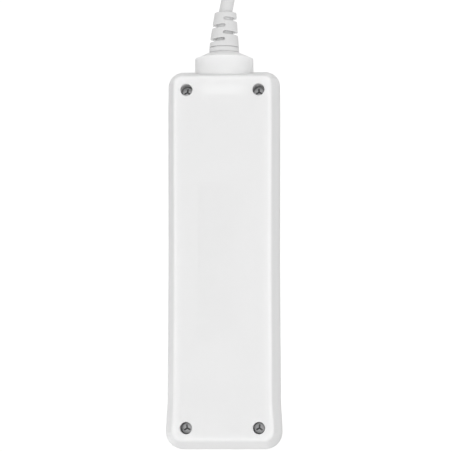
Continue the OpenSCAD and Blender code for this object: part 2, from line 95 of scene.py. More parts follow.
class Nodes:
    """The node tree of one material, with short calls for what the finishes share."""

    def __init__(self, name: str) -> None:
        """Starts an empty material with a Principled shader.

        Args:
            name: The material's name.
        """
        self.material = bpy.data.materials.new(name)
        self.material.use_nodes = True
        self.tree = self.material.node_tree
        self.shader = self.tree.nodes["Principled BSDF"]
        self.output = self.tree.nodes["Material Output"]
        self.place = self.add("ShaderNodeTexCoord").outputs["Object"]

    def add(self, kind: str, **settings: object) -> bpy.types.Node:
        """Adds a node.

        Args:
            kind: The node's type.
            **settings: Properties to set on it.

        Returns:
            The new node.
        """
        made = self.tree.nodes.new(kind)
        for key, value in settings.items():
            setattr(made, key, value)
        return made

    def link(self, source: bpy.types.NodeSocket, target: bpy.types.NodeSocket) -> None:
        """Links two sockets."""
        self.tree.links.new(source, target)

    def stretched(self, scale: Point, turn: Point = (0.0, 0.0, 0.0)) -> bpy.types.NodeSocket:
        """Object coordinates, scaled and turned.

        Args:
            scale: The scale along each axis.
            turn: The turn about each axis, in radians.

        Returns:
            The vector socket.
        """
        mapping = self.add("ShaderNodeMapping")
        mapping.inputs["Scale"].default_value = scale
        mapping.inputs["Rotation"].default_value = turn
        self.link(self.place, mapping.inputs["Vector"])
        return mapping.outputs["Vector"]

    def noise(
        self, scale: float, detail: float = 4.0, rough: float = 0.55, place: bpy.types.NodeSocket | None = None
    ) -> bpy.types.NodeSocket:
        """A noise pattern.

        Args:
            scale: How fine it is, in turns per metre.
            detail: How many finer patterns lie on it.
            rough: How strong the finer patterns are.
            place: The vector that it reads, or None for object coordinates.

        Returns:
            The factor socket.
        """
        made = self.add("ShaderNodeTexNoise")
        made.inputs["Scale"].default_value = scale
        made.inputs["Detail"].default_value = detail
        made.inputs["Roughness"].default_value = rough
        self.link(place or self.place, made.inputs["Vector"])
        return made.outputs["Fac"]

    def spread(self, value: bpy.types.NodeSocket, low: float, high: float) -> bpy.types.NodeSocket:
        """Maps the middle of a pattern to the range from low to high.

        Args:
            value: The pattern, from 0 to 1.
            low: What its dark part becomes.
            high: What its bright part becomes.

        Returns:
            The mapped value.
        """
        return self.ranged(value, (0.25, 0.75), (low, high))

    def ranged(
        self, value: bpy.types.NodeSocket, source: tuple[float, float], target: tuple[float, float]
    ) -> bpy.types.NodeSocket:
        """Maps one range of a value to another, and holds it at the ends.

        Args:
            value: The value.
            source: The range that it is taken from.
            target: The range that it is mapped to.

        Returns:
            The mapped value.
        """
        made = self.add("ShaderNodeMapRange")
        for name, number in zip(("From Min", "From Max", "To Min", "To Max"), (*source, *target)):
            made.inputs[name].default_value = number
        self.link(value, made.inputs["Value"])
        return made.outputs["Result"]

    def tinted(self, value: bpy.types.NodeSocket, first: Colour, second: Colour) -> None:
        """Colours the shader with two shades, mixed by a pattern.

        Args:
            value: The pattern, from 0 to 1.
            first: The shade where it is dark.
            second: The shade where it is bright.
        """
        mix = self.add("ShaderNodeMix", data_type="RGBA")
        mix.inputs["A"].default_value = (*first, 1.0)
        mix.inputs["B"].default_value = (*second, 1.0)
        self.link(self.spread(value, 0.0, 1.0), mix.inputs["Factor"])
        self.link(mix.outputs["Result"], self.shader.inputs["Base Color"])

    def bumped(self, heights: Sequence[tuple[bpy.types.NodeSocket, float, float]]) -> None:
        """Gives the shader a relief of one or more patterns.

        Args:
            heights: For each pattern, its socket, its strength and its depth in metres.
        """
        normal = None
        for height, strength, depth in heights:
            made = self.add("ShaderNodeBump")
            made.inputs["Strength"].default_value = strength
            made.inputs["Distance"].default_value = depth
            self.link(height, made.inputs["Height"])
            if normal:
                self.link(normal, made.inputs["Normal"])
            normal = made.outputs["Normal"]
        self.link(normal, self.shader.inputs["Normal"])

    def constants(self, **values: object) -> None:
        """Sets the shader's own sockets; a name's underscores stand for spaces."""
        for key, value in values.items():
            self.shader.inputs[key.replace("_", " ")].default_value = value


class Grain(Enum):
    """How fine the surface of the mould is: turns per metre, and relief in metres."""

    SPARK = (2600.0, 0.00004)
    SATIN = (4200.0, 0.00002)
    POLISHED = (1500.0, 0.000006)


def shade(colour: Colour, by: float) -> Colour:
    """A colour made lighter or darker by a factor."""
    return tuple(min(1.0, c * by) for c in colour)


@dataclass(frozen=True)
class Moulding:
    """Moulded plastic: an even colour with a faint cloud, the grain of its mould, and slight handling marks.

    Light passes a little way into the plastic where soft is above 0, and through it where clear is.
    """

    name: str
    slot: str
    colour: Colour
    grain: Grain = Grain.SATIN
    rough: float = 0.42
    cloud: float = 0.985
    coat: float = 0.0
    clear: float = 0.0
    soft: float = 0.0

    def material(self) -> bpy.types.Material:
        """Makes the material."""
        nodes = Nodes(self.name)
        size, relief = self.grain.value
        nodes.tinted(nodes.noise(38.0, 3.0), shade(self.colour, self.cloud), self.colour)
        marks = nodes.noise(210.0, 6.0, 0.62)
        nodes.link(nodes.spread(marks, self.rough - 0.05, self.rough + 0.07), nodes.shader.inputs["Roughness"])
        nodes.bumped([(nodes.noise(size, 2.0, 0.5), 0.35, relief), (nodes.noise(45.0, 2.0), 0.12, 0.00012)])
        nodes.constants(IOR=1.5, Coat_Weight=self.coat, Coat_Roughness=0.12, Transmission_Weight=self.clear)
        nodes.constants(Subsurface_Weight=self.soft, Subsurface_Radius=(1.0, 1.0, 1.0), Subsurface_Scale=0.006)
        return nodes.material


@dataclass(frozen=True)
class Sleeve:
    """Soft cord or wire sleeve: satin, with fine lines drawn along Y and a slight waviness.

    Light passes a little way into the sleeve where soft is above 0.
    """

    name: str
    slot: str
    colour: Colour
    stripe: Colour | None = None
    rough: float = 0.48
    soft: float = 0.0

    def material(self) -> bpy.types.Material:
        """Makes the material."""
        nodes = Nodes(self.name)
        if self.stripe:
            bands = nodes.add("ShaderNodeTexWave", bands_direction="DIAGONAL")
            bands.inputs["Scale"].default_value = 70.0
            nodes.link(nodes.place, bands.inputs["Vector"])
            nodes.tinted(bands.outputs["Fac"], self.colour, self.stripe)
        else:
            nodes.tinted(nodes.noise(60.0, 3.0), shade(self.colour, 0.975), self.colour)
        marks = nodes.noise(320.0, 5.0)
        nodes.link(nodes.spread(marks, self.rough - 0.06, self.rough + 0.08), nodes.shader.inputs["Roughness"])
        lines = nodes.noise(900.0, 2.0, 0.5, nodes.stretched((1.0, 0.08, 1.0)))
        nodes.bumped([(lines, 0.25, 0.00003), (nodes.noise(160.0, 2.0), 0.2, 0.0001)])
        nodes.constants(IOR=1.48, Sheen_Weight=0.08, Sheen_Roughness=0.5)
        nodes.constants(Subsurface_Weight=self.soft, Subsurface_Radius=(1.0, 1.0, 1.0), Subsurface_Scale=0.002)
        return nodes.material


@dataclass(frozen=True)
class Metal:
    """Bare or plated metal: brushed or tumbled, with faint tarnish.

    Above a given height, in metres, its colour is painted fully dark: painted shade, as deep in the recess of a screw's
    head.
    """

    name: str
    slot: str
    colour: Colour
    tarnish_and_shade: Colour
    rough: float = 0.3
    brushed: Point = (1.0, 1.0, 1.0)
    painted_shade_from: float | None = None

    def material(self) -> bpy.types.Material:
        """Makes the material."""
        nodes = Nodes(self.name)
        bright = nodes.noise(240.0, 6.0, 0.6)
        # Painted shade: above the given height the metal takes its darkest colour, standing in for the shade deep in a
        # screw's recess.
        if self.painted_shade_from is not None:
            bright = self.painted_shade_above(nodes, bright, self.painted_shade_from)
        nodes.tinted(bright, self.tarnish_and_shade, self.colour)
        lines = nodes.noise(1500.0, 3.0, 0.6, nodes.stretched(self.brushed))
        nodes.link(nodes.spread(lines, self.rough - 0.08, self.rough + 0.1), nodes.shader.inputs["Roughness"])
        nodes.bumped([(lines, 0.3, 0.00002), (nodes.noise(420.0, 2.0), 0.2, 0.00004)])
        nodes.constants(Metallic=1.0)
        return nodes.material

    def painted_shade_above(self, nodes: Nodes, bright: bpy.types.NodeSocket, start: float) -> bpy.types.NodeSocket:
        """Paints shade: takes the brightness of a pattern away above a height.

        Args:
            nodes: The material's nodes.
            bright: The pattern, from 0 to 1.
            start: The height, in metres.

        Returns:
            The pattern, darkened above the height as painted shade.
        """
        height = nodes.add("ShaderNodeSeparateXYZ")
        nodes.link(nodes.place, height.inputs["Vector"])
        product = nodes.add("ShaderNodeMath", operation="MULTIPLY")
        nodes.link(nodes.spread(bright, 0.8, 1.0), product.inputs[0])
        nodes.link(nodes.ranged(height.outputs["Z"], (start, start + 0.0002), (1.0, 0.0)), product.inputs[1])
        return product.outputs["Value"]


@dataclass(frozen=True)
class HookStrap:
    """A woven hook-and-loop strap: crossing threads with a soft nap."""

    name: str
    slot: str
    colour: Colour

    def material(self) -> bpy.types.Material:
        """Makes the material."""
        nodes = Nodes(self.name)
        nodes.tinted(nodes.noise(700.0, 4.0), shade(self.colour, 0.6), shade(self.colour, 1.7))
        threads = []
        for direction in ("X", "Y"):
            wave = nodes.add("ShaderNodeTexWave", bands_direction=direction)
            wave.inputs["Scale"].default_value = 420.0
            wave.inputs["Distortion"].default_value = 1.2
            nodes.link(nodes.stretched((1.0, 1.0, 0.6)), wave.inputs["Vector"])
            threads.append((wave.outputs["Fac"], 0.5, 0.00012))
        nodes.bumped([*threads, (nodes.noise(2600.0, 2.0), 0.5, 0.0001)])
        nodes.constants(Roughness=0.9, Sheen_Weight=0.5, Sheen_Roughness=0.4)
        return nodes.material


@dataclass(frozen=True)
class LampGlass:
    """Clear glass with a warm gas tint and a slightly wavy skin."""

    name: str
    slot: str
    colour: Colour

    def material(self) -> bpy.types.Material:
        """Makes the material."""
        nodes = Nodes(self.name)
        nodes.tinted(nodes.noise(300.0, 2.0), shade(self.colour, 0.9), self.colour)
        nodes.bumped([(nodes.noise(500.0, 2.0), 0.2, 0.00003)])
        nodes.constants(Roughness=0.06, Transmission_Weight=0.85, IOR=1.46)
        return nodes.material


HOUSING = Moulding("housing_white", "housing", (0.86, 0.86, 0.86), Grain.SPARK, rough=0.46, soft=0.9)
SOCKET = Moulding("socket_white", "socket_plastic", (0.78, 0.78, 0.765), Grain.POLISHED, rough=0.3, coat=0.15)
SHUTTER = Moulding("shutter_ivory", "shutter_plastic", (0.7, 0.68, 0.6), Grain.SATIN, rough=0.4)
FRAME_BLACK = Moulding("frame_black", "switch_plastic", (0.018, 0.018, 0.019), Grain.SATIN, rough=0.36, cloud=0.8)
ROCKER_RED = Moulding("rocker_red", "rocker_plastic", (0.6, 0.018, 0.012), Grain.POLISHED, 0.2, 0.9, 0.5, 0.12)
CLAMP = Moulding("clamp_grey", "clamp_plastic", (0.55, 0.55, 0.53), Grain.SATIN, rough=0.5)
PLUG = Moulding("plug_white", "plug_plastic", (0.8, 0.8, 0.79), Grain.SATIN, rough=0.45)
CORD_WHITE = Sleeve("cord_white", "cord_pvc", (0.69, 0.69, 0.69), soft=0.5)
WIRE_BROWN = Sleeve("wire_brown", "wire_brown", (0.13, 0.04, 0.015))
WIRE_BLUE = Sleeve("wire_blue", "wire_blue", (0.02, 0.09, 0.42))
WIRE_EARTH = Sleeve("wire_earth", "wire_green", (0.05, 0.3, 0.05), stripe=(0.75, 0.62, 0.03))
# Screw steel is painted dark from 11.9 mm up: painted shade deep in the recess of each head.
SCREW_STEEL = Metal("screw_steel", "screw_steel", (0.82, 0.82, 0.83), (0.2, 0.2, 0.2), 0.4, (1, 0.2, 1), 0.0119)
SPRING_STEEL = Metal("spring_steel", "spring_steel", (0.45, 0.45, 0.46), (0.32, 0.32, 0.33), rough=0.28)
BRASS = Metal("contact_brass", "contact_brass", (0.72, 0.5, 0.2), (0.5, 0.33, 0.13), rough=0.3, brushed=(1, 0.1, 1))
NICKEL = Metal("pin_nickel", "pin_nickel", (0.72, 0.7, 0.66), (0.6, 0.58, 0.54), rough=0.2, brushed=(1, 1, 0.1))
STRAP = HookStrap("strap_black", "tie_fabric", (0.02, 0.02, 0.021))
GAS_GLASS = LampGlass("lamp_glass", "lamp_glass", (0.95, 0.62, 0.42))

Finish = Moulding | Sleeve | Metal | HookStrap | LampGlass


class Paints:
    """The materials that have been made, one for each finish."""

    made: dict[str, bpy.types.Material] = {}

    @classmethod
    def of(cls, finish: Finish) -> bpy.types.Material:
        """The material of a finish, made once."""
        if finish.name not in cls.made:
            cls.made[finish.name] = finish.material()
        return cls.made[finish.name]


# ---------------------------------------------------------------- solids


class Solid:
    """A closed shape in millimetres, made and changed by bmesh operators."""

    def __init__(self, mesh: bmesh.types.BMesh) -> None:
        """Wraps a bmesh.

        Args:
            mesh: The bmesh, which the solid then owns.
        """
        self.mesh = mesh

    @classmethod
    def box(cls, low: Point, high: Point) -> "Solid":
        """A box.

        Args:
            low: Its lowest corner.
            high: Its highest corner.

        Returns:
            The solid.
        """
        mesh = bmesh.new()
        bmesh.ops.create_cube(mesh, size=1.0)
        bmesh.ops.scale(mesh, vec=Vector(high) - Vector(low), verts=mesh.verts)
        bmesh.ops.translate(mesh, vec=(Vector(low) + Vector(high)) / 2, verts=mesh.verts)
        return cls(mesh)

    @classmethod
    def rod(cls, radius: float, low: Point, high: Point, end_radius: float | None = None, sides: int = 56) -> "Solid":
        """A round rod or cone between two points.

        Args:
            radius: The radius at the first point.
            low: The first point.
            high: The second point.
            end_radius: The radius at the second point, or None for the same.
            sides: The number of sides.

        Returns:
            The solid.
        """
        mesh = bmesh.new()
        along = Vector(high) - Vector(low)
        turn = along.to_track_quat("Z", "Y").to_matrix().to_4x4()
        place = Matrix.Translation((Vector(low) + Vector(high)) / 2) @ turn
        bmesh.ops.create_cone(
            mesh,
            cap_ends=True,
            segments=sides,
            radius1=radius,
            radius2=radius if end_radius is None else end_radius,
            depth=along.length,
            matrix=place,
        )
        return cls(mesh)

    @classmethod
    def turned(
        cls, profile: Sequence[Point], centre: Point, axis: Point, ring: bool = False, steps: int = 72
    ) -> "Solid":
        """A profile spun about an axis.

        Args:
            profile: Points of (radius, place along the axis). Both ends have radius 0, unless ring is true.
            centre: A point on the axis, from which the places are counted.
            axis: The axis's direction, a unit vector.
            ring: Whether the profile is a closed loop that doesn't reach the axis.
            steps: The number of sides.

        Returns:
            The solid.
        """
        mesh = bmesh.new()
        verts = [mesh.verts.new(Vector(centre) + Vector(X) * r + Vector(axis) * s) for r, s in profile]
        pairs = list(zip(verts, verts[1:])) + ([(verts[-1], verts[0])] if ring else [])
        edges = [mesh.edges.new(pair) for pair in pairs]
        bmesh.ops.spin(
            mesh,
            geom=verts + edges,
            cent=centre,
            axis=axis,
            angle=math.tau,
            steps=steps,
            use_merge=True,
            dvec=(0, 0, 0),
        )
        bmesh.ops.remove_doubles(mesh, verts=mesh.verts, dist=1e-4)
        return cls(mesh).outward()

    @classmethod
    def drawn(cls, outline: Sequence[Point], along: Point) -> "Solid":
        """A flat outline drawn out along a vector.

        Args:
            outline: The corners of the flat face.
            along: How far and which way it is drawn.

        Returns:
            The solid.
        """
        mesh = bmesh.new()
        face = mesh.faces.new([mesh.verts.new(p) for p in outline])
        made = bmesh.ops.extrude_face_region(mesh, geom=[face])["geom"]
        bmesh.ops.translate(mesh, vec=along, verts=[g for g in made if isinstance(g, bmesh.types.BMVert)])
        return cls(mesh).outward()

    def outward(self) -> "Solid":
        """Turns every face outwards."""
        bmesh.ops.recalc_face_normals(self.mesh, faces=self.mesh.faces)
        return self

    def moved(self, by: Point) -> "Solid":
        """Moves the solid."""
        bmesh.ops.translate(self.mesh, vec=by, verts=self.mesh.verts)
        return self

    def rotated(self, degrees: float, axis: str, about: Point = (0.0, 0.0, 0.0)) -> "Solid":
        """Turns the solid about an axis through a point.

        Args:
            degrees: The angle.
            axis: X, Y or Z.
            about: A point on the axis.

        Returns:
            The same solid.
        """
        turn = Matrix.Rotation(math.radians(degrees), 3, axis)
        bmesh.ops.rotate(self.mesh, cent=about, matrix=turn, verts=self.mesh.verts)
        return self

    def reshaped(self, rule: Callable[[Vector], Vector]) -> "Solid":
        """Moves every vertex.

        Args:
            rule: Gives a vertex's new place for its old one.

        Returns:
            The same solid.
        """
        for vert in self.mesh.verts:
            vert.co = rule(vert.co)
        return self

    def kept(self, point: Point, normal: Point) -> "Solid":
        """Cuts the solid at a plane, keeps what lies behind the normal, and closes the cut.

        Args:
            point: A point on the plane.
            normal: The side that is cut away.

        Returns:
            The same solid.
        """
        every = [*self.mesh.verts, *self.mesh.edges, *self.mesh.faces]
        bmesh.ops.bisect_plane(self.mesh, geom=every, plane_co=point, plane_no=normal, clear_outer=True)
        rim = [e for e in self.mesh.edges if e.is_boundary]
        bmesh.ops.edgeloop_fill(self.mesh, edges=rim)
        return self.outward()

    def running(self, axis: int, least: float) -> list[bmesh.types.BMEdge]:
        """The edges that run further along an axis (0, 1 or 2) than a length."""
        return [e for e in self.mesh.edges if abs((e.verts[0].co - e.verts[1].co)[axis]) > least]

    def rounded(self, edges: Sequence[bmesh.types.BMEdge], width: float, segments: int) -> "Solid":
        """Rounds some edges.

        Args:
            edges: The edges.
            width: How far the rounding reaches from an edge.
            segments: The number of steps of the rounding.

        Returns:
            The same solid.
        """
        bmesh.ops.bevel(
            self.mesh, geom=edges, offset=width, segments=segments, profile=0.5, affect="EDGES", material=-1
        )
        return self

    def split(self) -> "Solid":
        """Splits the faces of more than four sides into triangles, so that the holes in them stay open."""
        many = [f for f in self.mesh.faces if len(f.verts) > 4]
        bmesh.ops.triangulate(self.mesh, faces=many, quad_method="BEAUTY", ngon_method="BEAUTY")
        return self

    def eased(self, width: float, least_angle: float = 35.0, segments: int = 2) -> "Solid":
        """Rounds every edge that is sharper than an angle.

        Args:
            width: How far the rounding reaches from the edge.
            least_angle: The angle between two faces from which their edge is rounded, in degrees.
            segments: The number of steps of the rounding.

        Returns:
            The same solid.
        """
        self.split()
        least = math.radians(least_angle)
        sharp = [e for e in self.mesh.edges if len(e.link_faces) == 2 and e.calc_face_angle(0.0) > least]
        return self.rounded(sharp, width, segments)

    def plus(self, *others: "Solid") -> "Solid":
        """Joins other solids to this one."""
        return self._worked("UNION", others)

    def minus(self, *others: "Solid") -> "Solid":
        """Cuts other solids out of this one."""
        return self._worked("DIFFERENCE", others)

    def _worked(self, operation: str, others: Iterable["Solid"]) -> "Solid":
        """Applies one boolean operation with each of the other solids in turn.

        Args:
            operation: UNION or DIFFERENCE.
            others: The other solids.

        Returns:
            The same solid.
        """
        for other in others:
            base, tool = self._loose("base"), other._loose("tool")
            modifier = base.modifiers.new("work", "BOOLEAN")
            modifier.operation = operation
            modifier.solver = "EXACT"
            modifier.object = tool
            bpy.context.view_layer.update()
            result = base.evaluated_get(bpy.context.evaluated_depsgraph_get()).to_mesh()
            self.mesh.clear()
            self.mesh.from_mesh(result)
            for thing in (base, tool):
                mesh = thing.data
                bpy.data.objects.remove(thing)
                bpy.data.meshes.remove(mesh)
        bmesh.ops.dissolve_degenerate(self.mesh, dist=1e-3, edges=self.mesh.edges)
        return self

    def _loose(self, name: str) -> bpy.types.Object:
        """Puts the solid into the scene as a scratch object.

        Args:
            name: The object's name.

        Returns:
            The object.
        """
        mesh = bpy.data.meshes.new(name)
        self.mesh.to_mesh(mesh)
        made = bpy.data.objects.new(name, mesh)
        bpy.context.scene.collection.objects.link(made)
        return made

    def with_loose(self, *others: "Solid") -> "Solid":
        """Adds other solids as separate shells of the same piece.

        Args:
            others: The other solids.

        Returns:
            The same solid.
        """
        for other in others:
            mesh = bpy.data.meshes.new("shell")
            other.mesh.to_mesh(mesh)
            self.mesh.from_mesh(mesh)
            bpy.data.meshes.remove(mesh)
        return self

    def piece(
        self, name: str, finish: Finish, body: str, nodes: Sequence[str], sharp: float = 32.0
    ) -> bpy.types.Object:
        """Finishes the solid as a piece of the object.

        Args:
            name: The piece's name.
            finish: What it is made of.
            body: The body that it rides on.
            nodes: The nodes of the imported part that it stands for.
            sharp: The angle from which an edge is shaded as sharp, in degrees.

        Returns:
            The piece.
        """
        self.split()
        bmesh.ops.scale(self.mesh, vec=(MM, MM, MM), verts=self.mesh.verts)
        mesh = bpy.data.meshes.new(name)
        self.mesh.to_mesh(mesh)
        self.mesh.free()
        mesh.shade_smooth()
        mesh.set_sharp_from_angle(angle=math.radians(sharp))
        made = bpy.data.objects.new(name, mesh)
        bpy.context.scene.collection.objects.link(made)
        weighted = made.modifiers.new("even_shading", "WEIGHTED_NORMAL")
        weighted.keep_sharp = True
        mesh.materials.append(Paints.of(finish))
        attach(made, body)
        if nodes:
            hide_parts(*nodes)
        log.info("%s: %d faces, on %s", name, len(mesh.polygons), body)
        return made


def arc(centre: Point, radius: float, start: float, end: float, steps: int) -> list[tuple[float, float]]:
    """Points on an arc in a profile.

    Args:
        centre: The centre, as (radius, place along the axis).
        radius: The arc's radius.
        start: The first angle, in degrees.
        end: The last angle, in degrees.
        steps: The number of steps.

    Returns:
        The points, both ends among them.
    """
    angles = [math.radians(between(start, end, k / steps)) for k in range(steps + 1)]
    return [(centre[0] + radius * math.cos(a), centre[1] + radius * math.sin(a)) for a in angles]


# ---------------------------------------------------------------- studio


@dataclass
class Studio:
    """The camera under the strip, a pale floor that hides nothing from below, and soft lamps. Metres."""

    eye: Point = (-0.05675, -0.0842, -1.158)
    aim: Point = (-0.00195, 0.0168, 0.0)
    lens: float = 175.2
    floor_drop: float = 0.0008
    floor_size: float = 9.0
    surround: float = 0.75

    def camera(self) -> None:
        """Makes the camera: +Y is up in its view."""
        data = bpy.data.cameras.new("camera")
        data.lens = self.lens
        data.sensor_width = 36.0
        data.clip_start, data.clip_end = 0.02, 30.0
        back = (Vector(self.eye) - Vector(self.aim)).normalized()
        right = Vector(Y).cross(back).normalized()
        up = back.cross(right)
        camera = bpy.data.objects.new("camera", data)
        camera.matrix_world = Matrix.Translation(self.eye) @ Matrix((right, up, back)).transposed().to_4x4()
        bpy.context.scene.collection.objects.link(camera)
        bpy.context.scene.camera = camera

    def floor(self) -> None:
        """Makes the floor, which is seen and catches shadows only from above."""
        mesh = bmesh.new()
        bmesh.ops.create_grid(mesh, x_segments=1, y_segments=1, size=self.floor_size / 2)
        bmesh.ops.translate(mesh, vec=(0, 0, -self.floor_drop), verts=mesh.verts)
        data = bpy.data.meshes.new("floor")
        mesh.to_mesh(data)
        mesh.free()
        nodes = Nodes("floor_paper")
        nodes.tinted(nodes.noise(3.0, 2.0), (0.60, 0.60, 0.60), (0.63, 0.63, 0.63))
        nodes.constants(Roughness=0.9)
        clear = nodes.add("ShaderNodeBsdfTransparent")
        under = nodes.add("ShaderNodeNewGeometry").outputs["Backfacing"]
        mix = nodes.add("ShaderNodeMixShader")
        nodes.link(under, mix.inputs["Fac"])
        nodes.link(nodes.shader.outputs["BSDF"], mix.inputs[1])
        nodes.link(clear.outputs["BSDF"], mix.inputs[2])
        nodes.link(mix.outputs["Shader"], nodes.output.inputs["Surface"])
        data.materials.append(nodes.material)
        floor = bpy.data.objects.new("floor", data)
        bpy.context.scene.collection.objects.link(floor)
        floor.visible_shadow = False
        floor.visible_diffuse = False
        floor.visible_glossy = False
        floor.visible_transmission = False

    def lamp(self, name: str, place: Point, aim: Point, size: float, power: float) -> bpy.types.Object:
        """Adds one square lamp.

        Args:
            name: The lamp's name.
            place: Where it hangs.
            aim: Where it points.
            size: The length of its sides.
            power: Its power, in watts.

        Returns:
            The lamp.
        """
        data = bpy.data.lights.new(name, "AREA")
        data.size = size
        data.energy = power
        lamp = bpy.data.objects.new(name, data)
        lamp.location = place
        lamp.rotation_euler = (Vector(aim) - Vector(place)).to_track_quat("-Z", "Y").to_euler()
        lamp.visible_camera = False
        bpy.context.scene.collection.objects.link(lamp)
        return lamp

    def light(self) -> None:
        """Hangs the lamps and sets an even surround that the camera sees as white."""
        self.lamp("under_key", (0.0, 0.02, -0.85), (0.0, 0.03, 0.0), 0.6, 2.6).visible_glossy = False
        self.lamp("under_eye", (-0.3, -0.25, -1.1), (0.0, 0.03, 0.0), 0.25, 1.5).visible_glossy = False
        self.lamp("over_key", (0.15, -0.2, 1.25), (0.0, 0.1, 0.0), 0.8, 4.0)
        self.lamp("over_rim", (-0.5, 0.5, 0.9), (0.0, 0.1, 0.0), 0.5, 1.0).visible_glossy = False
        world = bpy.data.worlds.new("surround")
        world.use_nodes = True
        tree = world.node_tree
        plain = tree.nodes["Background"]
        plain.inputs["Color"].default_value = (1.0, 1.0, 1.0, 1.0)
        plain.inputs["Strength"].default_value = self.surround
        seen = tree.nodes.new("ShaderNodeBackground")
        seen.inputs["Color"].default_value = (1.0, 1.0, 1.0, 1.0)
        seen.inputs["Strength"].default_value = 1.05
        mix = tree.nodes.new("ShaderNodeMixShader")
        tree.links.new(tree.nodes.new("ShaderNodeLightPath").outputs["Is Camera Ray"], mix.inputs["Fac"])
        tree.links.new(plain.outputs["Background"], mix.inputs[1])
        tree.links.new(seen.outputs["Background"], mix.inputs[2])
        tree.links.new(mix.outputs["Shader"], tree.nodes["World Output"].inputs["Surface"])
        bpy.context.scene.world = world
        bpy.context.scene.view_settings.view_transform = "Standard"

    def build(self) -> None:
        """Makes the camera, the floor and the light."""
        self.camera()
        self.floor()
        self.light()


# ---------------------------------------------------------------- cord


class Strand(Enum):
    """Where a strand lies in the hank: its radius at the folds, and its height."""

    TOP = (25.2, 17.1)
    UPPER_OUTER = (28.8, 10.8)
    UPPER_INNER = (21.6, 10.8)
    LOWER_INNER = (21.6, 3.6)
    LOWER_OUTER = (28.8, 3.6)


